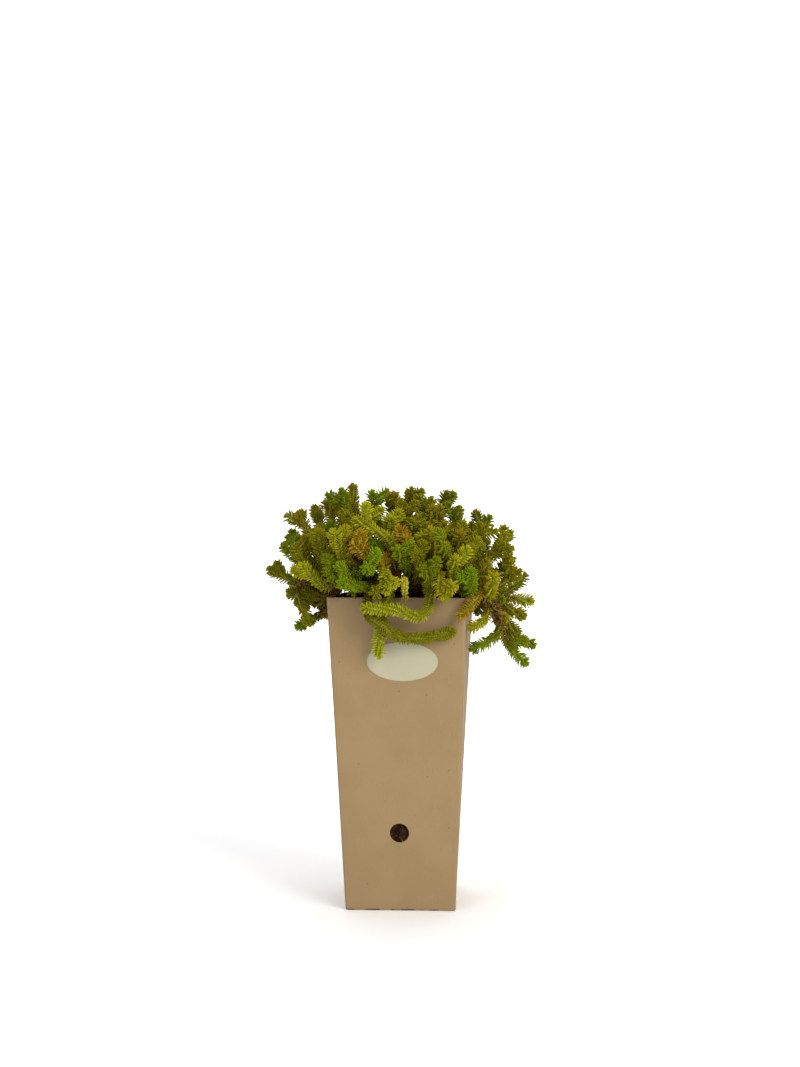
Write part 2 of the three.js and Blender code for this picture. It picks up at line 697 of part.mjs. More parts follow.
const pottedStonecrop = new THREE.Group();
pottedStonecrop.add(meshOf('pot', potGeometry(), BOARD_LOOK));
pottedStonecrop.add(placedLabel());
pottedStonecrop.add(meshOf('soil', soilGeometry(plants.map(({ root }) => root)), SOIL_LOOK));
plants.forEach(({ shoots }, i) => {
  const solids = shoots.map((shoot) => {
    const start = shoot === shoots[0] ? 0 : UPRIGHT_ROWS;
    return solidOf(shootGeometry(shoot, everyShoot, start));
  });
  const plant = wholeBody(solids.reduce((joined, solid) => joined.add(solid)));
  const name = `leafy_stems_${String(i + 1).padStart(2, '0')}`;
  const color = LEAF_COLOURS[i % LEAF_COLOURS.length];
  pottedStonecrop.add(meshOf(name, geometryOf(plant), { ...LEAF_LOOK, color }));
});

export default pottedStonecrop;
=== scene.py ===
"""A potted tasteless stonecrop: leafy stems in a tall carton pot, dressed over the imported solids.

Sizes are in millimetres as in the CAD source, and become metres where a mesh is made. +Z is up,
the origin is the centre of the pot's foot, and the front wall with the label faces -Y.
"""

from __future__ import annotations

import logging
import math
from dataclasses import dataclass, field
from enum import Enum
from typing import Any

import bpy
import numpy as np
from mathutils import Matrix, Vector, noise


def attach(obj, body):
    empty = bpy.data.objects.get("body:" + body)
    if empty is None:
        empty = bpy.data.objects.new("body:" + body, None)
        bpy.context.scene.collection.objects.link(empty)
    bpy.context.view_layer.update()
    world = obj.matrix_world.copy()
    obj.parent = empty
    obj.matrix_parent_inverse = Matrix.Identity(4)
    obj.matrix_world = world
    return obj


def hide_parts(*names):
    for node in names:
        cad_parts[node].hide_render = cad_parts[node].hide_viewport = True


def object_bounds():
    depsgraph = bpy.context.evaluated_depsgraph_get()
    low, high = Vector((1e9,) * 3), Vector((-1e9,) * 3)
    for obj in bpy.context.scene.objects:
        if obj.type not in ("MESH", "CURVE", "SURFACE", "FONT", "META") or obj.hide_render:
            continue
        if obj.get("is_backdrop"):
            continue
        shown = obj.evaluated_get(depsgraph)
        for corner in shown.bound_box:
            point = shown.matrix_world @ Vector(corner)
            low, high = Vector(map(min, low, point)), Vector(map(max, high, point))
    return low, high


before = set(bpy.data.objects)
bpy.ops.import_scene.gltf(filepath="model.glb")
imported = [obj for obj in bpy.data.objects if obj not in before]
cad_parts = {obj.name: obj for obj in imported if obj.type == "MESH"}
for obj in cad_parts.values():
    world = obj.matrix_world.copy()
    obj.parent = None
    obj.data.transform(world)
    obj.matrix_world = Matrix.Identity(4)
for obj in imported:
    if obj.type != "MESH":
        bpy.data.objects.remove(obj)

LOG = logging.getLogger("stonecrop")
MM = 0.001
FULL_TURN = 2 * math.pi
GOLDEN_TURN = math.pi * (3 - math.sqrt(5))
UP = np.array((0.0, 0.0, 1.0))
# Nearly all values of a noise texture lie between these.
NOISE_SPAN = (0.3, 0.7)
Array = np.ndarray
Span = tuple[float, float]
Point = tuple[float, float, float]


# Nodes and meshes


def linear(code: str) -> tuple[float, float, float, float]:
    """Turns an sRGB hex colour into the linear colour that a node takes.

    Args:
        code: The colour, such as "#a9905f".

    Returns:
        Linear red, green, blue and alpha.
    """
    shares = [int(code[i:i + 2], 16) / 255 for i in (1, 3, 5)]
    red, green, blue = (s / 12.92 if s <= 0.04045 else ((s + 0.055) / 1.055) ** 2.4 for s in shares)
    return red, green, blue, 1.0


def per_mm(size: float) -> float:
    """A texture's Scale whose features are this many millimetres across."""
    return 1 / (size * MM)


def add_node(tree: bpy.types.NodeTree, kind: str, settings: dict[str, Any] | str | None = None,
             links: dict[str | int, Any] | tuple[Any, ...] = ()) -> bpy.types.Node:
    """Adds a node with its settings and links.

    Args:
        tree: The tree that takes the node.
        kind: The node's type name.
        settings: Values of the node's own properties, or the name of its operation alone.
            "stops" holds a colour ramp's stops.
        links: What each input gets, by its name or number, or in a row from the first input on:
            a value, a socket, a node whose first output is meant, or a list of these.

    Returns:
        The new node.
    """
    node = tree.nodes.new(kind)
    if isinstance(settings, str):
        settings = {"operation": settings}
    for name, value in (settings or {}).items():
        if name == "stops":
            elements = node.color_ramp.elements
            while len(elements) < len(value):
                elements.new(1.0)
            for element, (position, code) in zip(elements, value):
                element.position = position
                element.color = linear(code)
        else:
            setattr(node, name, value)
    for key, value in (links if isinstance(links, dict) else dict(enumerate(links))).items():
        if isinstance(key, int):
            socket = node.inputs[key]
        else:
            socket = next(s for s in node.inputs if s.enabled and s.name == key)
        for source in value if isinstance(value, list) else [value]:
            if isinstance(source, bpy.types.Node):
                source = next(s for s in source.outputs if s.enabled)
            if isinstance(source, bpy.types.NodeSocket):
                tree.links.new(source, socket)
            else:
                socket.default_value = source
    return node


def output(node: bpy.types.Node, name: str) -> bpy.types.NodeSocket:
    """The node's output of that name that its settings leave in use."""
    return next(s for s in node.outputs if s.enabled and s.name == name)


def new_piece(name: str, points: Array, faces: list[tuple[int, ...]],
              edges: list[tuple[int, int]] | None = None) -> bpy.types.Object:
    """Makes an object at the origin from points in millimetres.

    Args:
        name: The piece's name.
        points: One row for each vertex.
        faces: The vertices of each face, anticlockwise from outside.
        edges: Loose edges.

    Returns:
        The new object, linked to the scene.
    """
    mesh = bpy.data.meshes.new(name)
    mesh.from_pydata((points * MM).tolist(), edges or [], faces)
    mesh.update()
    piece = bpy.data.objects.new(name, mesh)
    bpy.context.scene.collection.objects.link(piece)
    return piece


def set_values(piece: bpy.types.Object, name: str, values: Array) -> None:
    """Stores one number for each vertex of a piece as a named attribute."""
    layer = piece.data.attributes.new(name, "FLOAT", "POINT")
    layer.data.foreach_set("value", np.asarray(values, np.float32))


def freeze(piece: bpy.types.Object) -> None:
    """Makes what a piece's modifiers show its plain mesh, and removes them.

    Args:
        piece: The piece, which keeps its name.
    """
    graph = bpy.context.evaluated_depsgraph_get()
    shown = bpy.data.meshes.new_from_object(
        piece.evaluated_get(graph), preserve_all_data_layers=True, depsgraph=graph)
    shown.name = piece.name
    piece.modifiers.clear()
    piece.data = shown


def smooth(piece: bpy.types.Object, sharp_degrees: float = 35.0) -> None:
    """Shades a piece smooth between the edges that bend more than an angle."""
    piece.data.shade_smooth()
    piece.data.set_sharp_from_angle(angle=math.radians(sharp_degrees))


def loft_faces(loops: int, count: int, closed: bool = True) -> list[tuple[int, ...]]:
    """Faces between loops of equally many points that turn left seen from the next loop.

    Args:
        loops: How many loops there are.
        count: How many points each has.
        closed: Whether a face closes the first and the last loop.

    Returns:
        The faces, pointing outwards.
    """
    faces: list[tuple[int, ...]] = []
    for low in range(0, (loops - 1) * count, count):
        for i in range(count):
            j = (i + 1) % count
            faces.append((low + i, low + j, low + count + j, low + count + i))
    if closed:
        last = (loops - 1) * count
        faces.append(tuple(range(count - 1, -1, -1)))
        faces.append(tuple(range(last, last + count)))
    return faces


def dress(piece: bpy.types.Object, slot: str, *nodes: str) -> bpy.types.Object:
    """Puts a finished piece on the pot's body, in place of the solids that it stands for.

    Args:
        piece: The piece.
        slot: Its material slot; not used.
        nodes: The solids' names.

    Returns:
        The piece.
    """
    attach(piece, "root")
    if nodes:
        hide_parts(*nodes)
    LOG.info("%s: %d faces", piece.name, len(piece.data.polygons))
    return piece


@dataclass
class Grower:
    """A Geometry Nodes tree with named inputs, and the identifiers that a modifier sets them by."""

    group: bpy.types.NodeTree
    start: bpy.types.Node
    identifiers: dict[str, str]

    @classmethod
    def new(cls, name: str, inputs: dict[str, Any]) -> Grower:
        """Makes an empty tree.

        Args:
            name: The tree's name.
            inputs: Each named input's first value. A type in place of a value makes an object or
                material input without one.

        Returns:
            The tree, ready for its nodes.
        """
        group = bpy.data.node_groups.new(name, "GeometryNodeTree")
        for way in ("INPUT", "OUTPUT"):
            group.interface.new_socket(name="Geometry", in_out=way, socket_type="NodeSocketGeometry")
        kinds = {float: "NodeSocketFloat", int: "NodeSocketInt"}
        identifiers = {}
        for label, value in inputs.items():
            kind = kinds.get(type(value)) or f"NodeSocket{value.__name__}"
            socket = group.interface.new_socket(name=label, in_out="INPUT", socket_type=kind)
            if type(value) in kinds:
                socket.default_value = value
            identifiers[label] = socket.identifier
        return cls(group, group.nodes.new("NodeGroupInput"), identifiers)

    def add(self, kind: str, settings: dict[str, Any] | str | None = None,
            links: dict[str | int, Any] | tuple[Any, ...] = ()) -> bpy.types.Node:
        """Adds a node to the tree, as add_node does."""
        return add_node(self.group, kind, settings, links)

    def given(self, name: str) -> bpy.types.NodeSocket:
        """The socket that carries one of the tree's named inputs."""
        return self.start.outputs[name]

    def grow(self, piece: bpy.types.Object, values: dict[str, Any]) -> None:
        """Runs the tree on a piece and leaves the result as the piece's plain mesh.

        Args:
            piece: The object whose mesh the tree starts from.
            values: Values of the named inputs.
        """
        modifier = piece.modifiers.new(self.group.name, "NODES")
        modifier.node_group = self.group
        for name, value in values.items():
            modifier[self.identifiers[name]] = value
        freeze(piece)


# Finishes


class Pattern(Enum):
    """What a share of a finish follows, and the node that makes it."""

    CLOUDS = "ShaderNodeTexNoise"
    SPOTS = "ShaderNodeTexVoronoi"
    MARK = "ShaderNodeAttribute"
    RINGS = "ShaderNodeMath"
    HEIGHT = "ShaderNodeSeparateXYZ"


@dataclass(frozen=True)
class Share:
    """How much of something shows across a surface, from none at 0 to all at 1.

    Clouds, spots and rings are size millimetres across. Turned clouds are drawn out along one
    way. A mark, or the length that rings follow, is a number stored on the mesh. A span eases
    the share from none at its first value to most at its second. A second share multiplies it.
    """

    pattern: Pattern
    size: float = 1.0
    detail: float = 2.0
    turn: float = 0.0
    squeeze: float = 1.0
    mark: str = ""
    span: Span | None = None
    most: float = 1.0
    times: Share | None = None

    def add(self, tree: bpy.types.NodeTree) -> Any:
        """Adds the share's nodes.

        Args:
            tree: The material's tree.

        Returns:
            The node or socket that carries the share.
        """
        value = self.followed(tree)
        if self.span:
            value = add_node(tree, "ShaderNodeMapRange", {"interpolation_type": "SMOOTHSTEP"}, {
                "Value": value, "From Min": self.span[0], "From Max": self.span[1], "To Max": self.most})
        if self.times:
            value = add_node(tree, "ShaderNodeMath", "MULTIPLY", (value, self.times.add(tree)))
        return value

    def followed(self, tree: bpy.types.NodeTree) -> Any:
        """Adds the pattern that the share follows.

        Args:
            tree: The material's tree.

        Returns:
            The node or socket that carries the pattern.
        """
        if self.mark:
            stored = output(add_node(tree, "ShaderNodeAttribute", {"attribute_name": self.mark}), "Fac")
            if self.pattern is Pattern.MARK:
                return stored
            turns = add_node(tree, "ShaderNodeMath", "MULTIPLY", (stored, FULL_TURN * per_mm(self.size)))
            return add_node(tree, self.pattern.value, "SINE", (turns,))
        place = output(add_node(tree, "ShaderNodeTexCoord"), "Object")
        if self.pattern is Pattern.HEIGHT:
            return output(add_node(tree, self.pattern.value, links={"Vector": place}), "Z")
        if self.turn:
            place = add_node(tree, "ShaderNodeMapping", links={
                "Vector": place, "Rotation": (self.turn, self.turn, 0.0), "Scale": (1.0, 1.0, self.squeeze)})
        return add_node(tree, self.pattern.value, links={
            "Vector": place, "Scale": per_mm(self.size), "Detail": self.detail})


@dataclass(frozen=True)
class Finish:
    """One real material: a ground colour, the colours that lie over it, its relief and its gloss."""

    name: str
    ground: str = ""
    layers: tuple[tuple[str, Share], ...] = ()
    relief: Share | None = None
    relief_depth: float = 0.0
    relief_strength: float = 0.0
    roughness: float = 0.5
    ior: float = 1.5
    more: tuple[tuple[str, Any], ...] = ()

    def material(self) -> bpy.types.Material:
        """Makes the material.

        Returns:
            The new material, under the finish's name.
        """
        made = bpy.data.materials.new(self.name)
        made.use_nodes = True
        tree = made.node_tree
        tree.nodes.clear()
        colour = self.under(tree)
        for code, share in self.layers:
            colour = add_node(tree, "ShaderNodeMix", {"data_type": "RGBA"}, {
                "Factor": share.add(tree), "A": colour, "B": linear(code)})
        look = {"Base Color": colour, "Roughness": self.roughness, "IOR": self.ior, **dict(self.more)}
        if self.relief:
            look["Normal"] = add_node(tree, "ShaderNodeBump", links={
                "Strength": self.relief_strength, "Distance": self.relief_depth * MM,
                "Height": self.relief.add(tree)})
        shader = add_node(tree, "ShaderNodeBsdfPrincipled", links=look)
        add_node(tree, "ShaderNodeOutputMaterial", links={"Surface": shader})
        return made

    def under(self, tree: bpy.types.NodeTree) -> Any:
        """The colour under the layers, plain unless a finish has its own."""
        return linear(self.ground)


@dataclass(frozen=True)
class KraftBoard(Finish):
    """Unbleached kraft solid board, pressed and matt.

    Long wood fibres give it fine pale and dark flecks, the pulp settles in soft clouds, and wet
    soil has left a broken dark line along the foot.
    """

    name: str = "kraft solid board"
    ground: str = "#947c57"
    layers: tuple[tuple[str, Share], ...] = (
        # Pulp settles in clouds about 26 mm across.
        ("#907853", Share(Pattern.CLOUDS, 26.0, 3.0, span=(0.35, 0.65))),
        # A wood fibre, 0.03 mm wide, is too fine to show, so dark and pale bundles are 1.1 mm wide.
        ("#745d40", Share(Pattern.CLOUDS, 1.1, turn=0.5, squeeze=0.22, span=(0.62, 0.74), most=0.2)),
        ("#a49170", Share(Pattern.CLOUDS, 1.1, turn=-0.7, squeeze=0.22, span=(0.62, 0.74), most=0.2)),
        # Dark bits of bark lie about 13 mm apart.
        ("#745d40", Share(Pattern.SPOTS, 13.0, 0.0, span=(0.06, 0.03), most=0.9)),
        # The wet line is about 1 mm high and breaks off every 9 mm or so.
        ("#3a2a1c", Share(Pattern.CLOUDS, 9.0, span=(0.42, 0.55),
                          times=Share(Pattern.HEIGHT, span=(1.54 * MM, 0.66 * MM)))),
    )
    # Pressed pulp has a grain of 0.7 mm.
    relief: Share = Share(Pattern.CLOUDS, 0.7, 4.0)
    relief_depth: float = 0.08
    relief_strength: float = 0.25
    roughness: float = 0.86


@dataclass(frozen=True)
class CutBoard(Finish):
    """The cut edge of kraft board: paler and rougher, with the torn fibres of the cut."""

    name: str = "cut edge of kraft board"
    ground: str = "#c4ae84"
    # Torn bundles of fibre, 0.2 mm wide, are too fine to show and are drawn 0.9 mm wide.
    layers: tuple[tuple[str, Share], ...] = (("#a58a5e", Share(Pattern.CLOUDS, 0.9, 3.0)),)
    relief: Share = Share(Pattern.CLOUDS, 0.9, 3.0)
    relief_depth: float = 0.1
    relief_strength: float = 0.4
    roughness: float = 0.92


@dataclass(frozen=True)
class LabelPaper(Finish):
    """Uncoated cream label paper, die cut: even and matt, a shade darker at its edge."""

    name: str = "uncoated label paper"
    ground: str = "#b0ac91"
    layers: tuple[tuple[str, Share], ...] = (
        # Fine paper pulp settles in faint clouds about 12 mm across.
        ("#aaa588", Share(Pattern.CLOUDS, 12.0, 4.0)),
        ("#8a7a55", Share(Pattern.MARK, mark="edge")),
    )
    # Paper grain is about 0.1 mm, too fine to show, and is drawn 0.5 mm wide.
    relief: Share = Share(Pattern.CLOUDS, 0.5, 3.0)
    relief_depth: float = 0.03
    relief_strength: float = 0.12
    roughness: float = 0.7
    ior: float = 1.48


@dataclass(frozen=True)
class PottingSoil(Finish):
    """Damp peat potting soil: dark brown crumbs with reddish fibre and a few pale grains."""

    name: str = "peat potting soil"
    ground: str = "#140905"
    layers: tuple[tuple[str, Share], ...] = (
        # Dry patches are about 5 mm across, shreds of fibre 1.4 mm, and grains lie 4.5 mm apart.
        ("#2c190d", Share(Pattern.CLOUDS, 5.0, 5.0, span=(0.35, 0.7))),
        ("#6e3f1c", Share(Pattern.CLOUDS, 1.4, span=(0.58, 0.7), most=0.8)),
        ("#8f8069", Share(Pattern.SPOTS, 4.5, 0.0, span=(0.12, 0.07))),
    )
    # The shreds stand up from the rest.
    relief: Share = Share(Pattern.CLOUDS, 1.4)
    relief_depth: float = 0.4
    relief_strength: float = 0.6
    roughness: float = 0.95
    ior: float = 1.4
    more: tuple[tuple[str, Any], ...] = (("Specular IOR Level", 0.15),)


@dataclass(frozen=True)
class StonecropLeaf(Finish):
    """Fleshy stonecrop leaves under a thin, dull waxy skin, which light enters a little way.

    The green goes from moss to lime between shoots. Leaves darken further down a shoot, partly
    with age and partly as painted shade deep in the cushion. The root of a leaf is paler, partly
    its own colour and partly painted light in the shaded gaps by the stem, and sun has turned
    some tips a reddish brown.
    """

    name: str = "waxy stonecrop leaf"
    layers: tuple[tuple[str, Share], ...] = (
        # Darker brown further down the shoot: partly older leaves, partly painted shade between the shoots
        # deep in the cushion.
        ("#46290c", Share(Pattern.MARK, mark="age", span=(0.05, 0.65), most=0.95)),
        # Paler towards the leaf's root: partly the leaf's own colour, partly painted light in the shaded
        # gaps by the stem.
        ("#a3a81c", Share(Pattern.MARK, mark="along", span=(0.7, 0.1), most=0.5)),
        ("#8a4d12", Share(Pattern.MARK, mark="along", span=(0.5, 0.95),
                          times=Share(Pattern.MARK, mark="blush"))),
    )
    ior: float = 1.38
    # Light scatters about 1.3 mm into the flesh, and blue light a quarter as far.
    more: tuple[tuple[str, Any], ...] = (
        ("Specular IOR Level", 0.07), ("Subsurface Weight", 0.45),
        ("Subsurface Radius", (1.0, 1.0, 0.25)), ("Subsurface Scale", 1.3 * MM))
    tone_stray: float = 0.06

    def under(self, tree: bpy.types.NodeTree) -> Any:
        """Adds the shoot's tone, a little different from leaf to leaf.

        Args:
            tree: The material's tree.

        Returns:
            The node that carries the colour.
        """
        stray, tone = (Share(Pattern.MARK, mark=name).add(tree) for name in ("stray", "tone"))
        place = add_node(tree, "ShaderNodeMath", "MULTIPLY_ADD", (stray, self.tone_stray, tone))
        return add_node(tree, "ShaderNodeValToRGB", {"stops": [t.value for t in Tone]}, {"Fac": place})


@dataclass(frozen=True)
class StonecropStem(Finish):
    """A stonecrop's stem: green among its leaves, brown and ringed with leaf scars where bare."""

    name: str = "stonecrop stem"
    ageing: tuple[tuple[float, str], ...] = (
        (0.0, "#8a8e12"), (0.35, "#7f7f14"), (0.6, "#72502a"), (0.8, "#643826"), (1.0, "#40281a"))
    # Leaf scars follow each other every 1.15 mm.
    relief: Share = Share(Pattern.RINGS, 1.15, mark="from_tip")
    relief_depth: float = 0.15
    relief_strength: float = 0.5
    roughness: float = 0.6
    ior: float = 1.45

    def under(self, tree: bpy.types.NodeTree) -> Any:
        """The colour of the stem's age."""
        age = Share(Pattern.MARK, mark="age").add(tree)
        return add_node(tree, "ShaderNodeValToRGB", {"stops": self.ageing}, {"Fac": age})


@dataclass(frozen=True)
class StudioPaper(Finish):
    """Seamless white studio paper, lit a little from behind, so that a shadow on it stays faint."""

    name: str = "seamless studio paper"
    ground: str = "#f4f4f4"
    roughness: float = 0.9
    more: tuple[tuple[str, Any], ...] = (("Emission Color", linear("#f4f4f4")), ("Emission Strength", 0.13))


# The pot, its label and its soil


@dataclass
class Carton:
    """The pot: one sheet of solid board folded to a tall, tapered square."""

    height: float = 224.5
    foot_width: float = 79.0
    rim_width: float = 100.0
    rim_turn: float = math.radians(-3)
    board: float = 1.4
    fold_radius: float = 2.0
    fold_steps: int = 6
    wall_steps: int = 12
    wall_levels: int = 26
    foot_bevel: float = 0.8
    edge_round: float = 0.25
    hole_height: float = 56.0
    hole_diameter: float = 13.8
    hole_sides: int = 48
    # The punch goes this far in from the wall and out from it.
    punch_reach: Span = (9.875, 2.8)
    # How deep the sheet waves. Each of two waves rises slowly up the wall and leans across it.
    wave: float = 0.28
    wave_rise: Span = (31.0, 47.0)
    wave_skew: Span = (2.2, 1.3)
    wave_start: float = 0.6

    def half_width(self, z: float | Array) -> Array:
        """Half the outer width at a height."""
        share = np.clip(np.asarray(z, float) / self.height, 0, 1)
        return ((1 - share) * self.foot_width + share * self.rim_width) / 2

    def turn(self, z: float | Array) -> Array:
        """How far the section is turned at a height."""
        return self.rim_turn * np.clip(np.asarray(z, float) / self.height, 0, 1)

    def dent(self, across: Array, z: float | Array) -> Array:
        """How far the board sinks in between its folds, from a soft wave in the sheet.

        Args:
            across: Places along a wall, from -1 at one fold to 1 at the next.
            z: The height of these places.

        Returns:
            One depth for each place.
        """
        first = np.sin(z / self.wave_rise[0] + self.wave_skew[0] * across)
        second = np.cos(z / self.wave_rise[1] - self.wave_skew[1] * across + self.wave_start)
        return self.wave * np.clip(1 - across ** 2, 0, 1) * (1 + first * second)

    def loop(self, z: float, inset: float) -> Array:
        """One section of the pot with folded corners and points along its walls.

        Args:
            z: The section's height.
            inset: How far it lies inside the outer face.

        Returns:
            The points, turning left seen from above.
        """
        radius = max(self.fold_radius - inset, self.fold_radius / 4)
        reach = float(self.half_width(z)) - inset - radius
        across = np.linspace(-1, 1, self.wall_steps + 1)[1:-1]
        quarter = FULL_TURN / 4
        points = []
        for corner in range(4):
            middle = quarter * (corner + 0.5)
            centre = reach * math.sqrt(2) * np.array((math.cos(middle), math.sin(middle)))
            fold = quarter * (corner + np.linspace(0, 1, self.fold_steps + 1))
            points.extend(centre + radius * np.stack((np.cos(fold), np.sin(fold)), 1))
            normal = np.array((math.cos(quarter * (corner + 1)), math.sin(quarter * (corner + 1))))
            run = np.array((-normal[1], normal[0]))
            sunk = (reach + radius) - self.dent(across, z)
            points.extend(normal * sunk[:, None] + run * (across * reach)[:, None])
        flat = np.array(points)
        angle = float(self.turn(z))
        spin = np.array(((math.cos(angle), math.sin(angle)), (-math.sin(angle), math.cos(angle))))
        return np.column_stack((flat @ spin, np.full(len(flat), z)))

    def oval(self, middle: Span, radii: Span, out: float, sides: int) -> Array:
        """An oval of points on or near the front wall.

        Args:
            middle: How far its middle lies to the right of the wall's middle, and its height.
            radii: Half its width and half its height.
            out: How far it lies in front of the wall.
            sides: How many points it has.

        Returns:
            One point a row.
        """
        angle = np.linspace(0, FULL_TURN, sides, endpoint=False)
        across = middle[0] + radii[0] * np.cos(angle)
        z = middle[1] + radii[1] * np.sin(angle)
        half = self.half_width(z)
        y = self.dent(across / half, z) - half - out
        cos, sin = np.cos(self.turn(z)), np.sin(self.turn(z))
        return np.column_stack((across * cos - y * sin, across * sin + y * cos, z))

    def hole(self, out: float, sides: int) -> Array:
        """The round hole's outline at a distance in front of the wall."""
        return self.oval((0.0, self.hole_height), (self.hole_diameter / 2,) * 2, out, sides)

    def build(self) -> bpy.types.Object:
        """Folds the carton and punches its hole.

        Returns:
            The finished carton.
        """
        levels = np.linspace(0, self.height, self.wall_levels + 1)
        top, bevel = self.height - self.edge_round, self.foot_bevel
        sections = [(0, bevel), (bevel / 2, bevel / 4), (bevel * 1.5, 0)]
        sections += [(z, 0) for z in levels[1:-1]]
        sections += [(top, 0), (self.height, self.edge_round)]
        sections += [(self.height, self.board - self.edge_round), (top, self.board)]
        sections += [(z, self.board) for z in levels[-2:0:-1]] + [(self.board, self.board)]
        loops = [self.loop(z, inset) for z, inset in sections]
        carton = new_piece("carton", np.concatenate(loops), loft_faces(len(loops), len(loops[0])))
        board, cut = KraftBoard().material(), CutBoard().material()
        for finish in (board, cut):
            carton.data.materials.append(finish)
        punch = self.punch(cut)
        punching = carton.modifiers.new("hole", "BOOLEAN")
        punching.object = punch
        punching.solver = "EXACT"
        punching.material_mode = "TRANSFER"
        freeze(carton)
        bpy.data.objects.remove(punch)
        self.mark_rim(carton, carton.data.materials.find(cut.name))
        smooth(carton)
        return dress(carton, "kraft_board", "pot")

    def punch(self, cut: bpy.types.Material) -> bpy.types.Object:
        """Makes the round punch that cuts the hole in the front wall.

        Args:
            cut: The material that the cut edge takes from it.

        Returns:
            The punch, to be removed after the cut.
        """
        loops = [self.hole(out, self.hole_sides) for out in (-self.punch_reach[0], self.punch_reach[1])]
        punch = new_piece("punch", np.concatenate(loops), loft_faces(2, self.hole_sides))
        punch.data.materials.append(cut)
        return punch

    def mark_rim(self, carton: bpy.types.Object, cut: int) -> None:
        """Gives the rim's level faces the look of cut board.

        Args:
            carton: The punched carton.
            cut: The number of its material for cut board.
        """
        for face in carton.data.polygons:
            if face.center.z > (self.height - self.edge_round / 2) * MM and abs(face.normal.z) > 0.5:
                face.material_index = cut


@dataclass
class OvalLabel:
    """The blank oval label on the front wall."""

    carton: Carton
    height: float = 179.0
    offset: float = 3.8
    width: float = 51.4
    tall: float = 28.2
    thick: float = 0.22
    lift: float = 0.12
    sides: int = 96
    # Each ring's share of the label's size and of its thickness, from the wall to the middle.
    rings: tuple[Span, ...] = (
        (1.0, 0.0), (1.0, 0.6), (0.995, 1.0), (0.98, 1.0), (0.94, 1.0), (0.8, 1.0), (0.55, 1.0),
        (0.3, 1.0), (0.1, 1.0))
    dark_edge: Span = (0.975, 1.0)

    def build(self) -> bpy.types.Object:
        """Lays the label on the wall.

        Returns:
            The finished label.
        """
        loops = [self.carton.oval((self.offset, self.height), (ring * self.width / 2, ring * self.tall / 2),
                                  self.lift + out * self.thick, self.sides) for ring, out in self.rings]
        label = new_piece("oval_label", np.concatenate(loops), loft_faces(len(loops), self.sides))
        edge = np.interp([ring for ring, _ in self.rings], self.dark_edge, (0.0, 1.0))
        set_values(label, "edge", np.repeat(edge, self.sides))
        label.data.materials.append(LabelPaper().material())
        smooth(label)
        return dress(label, "label_paper", "label")


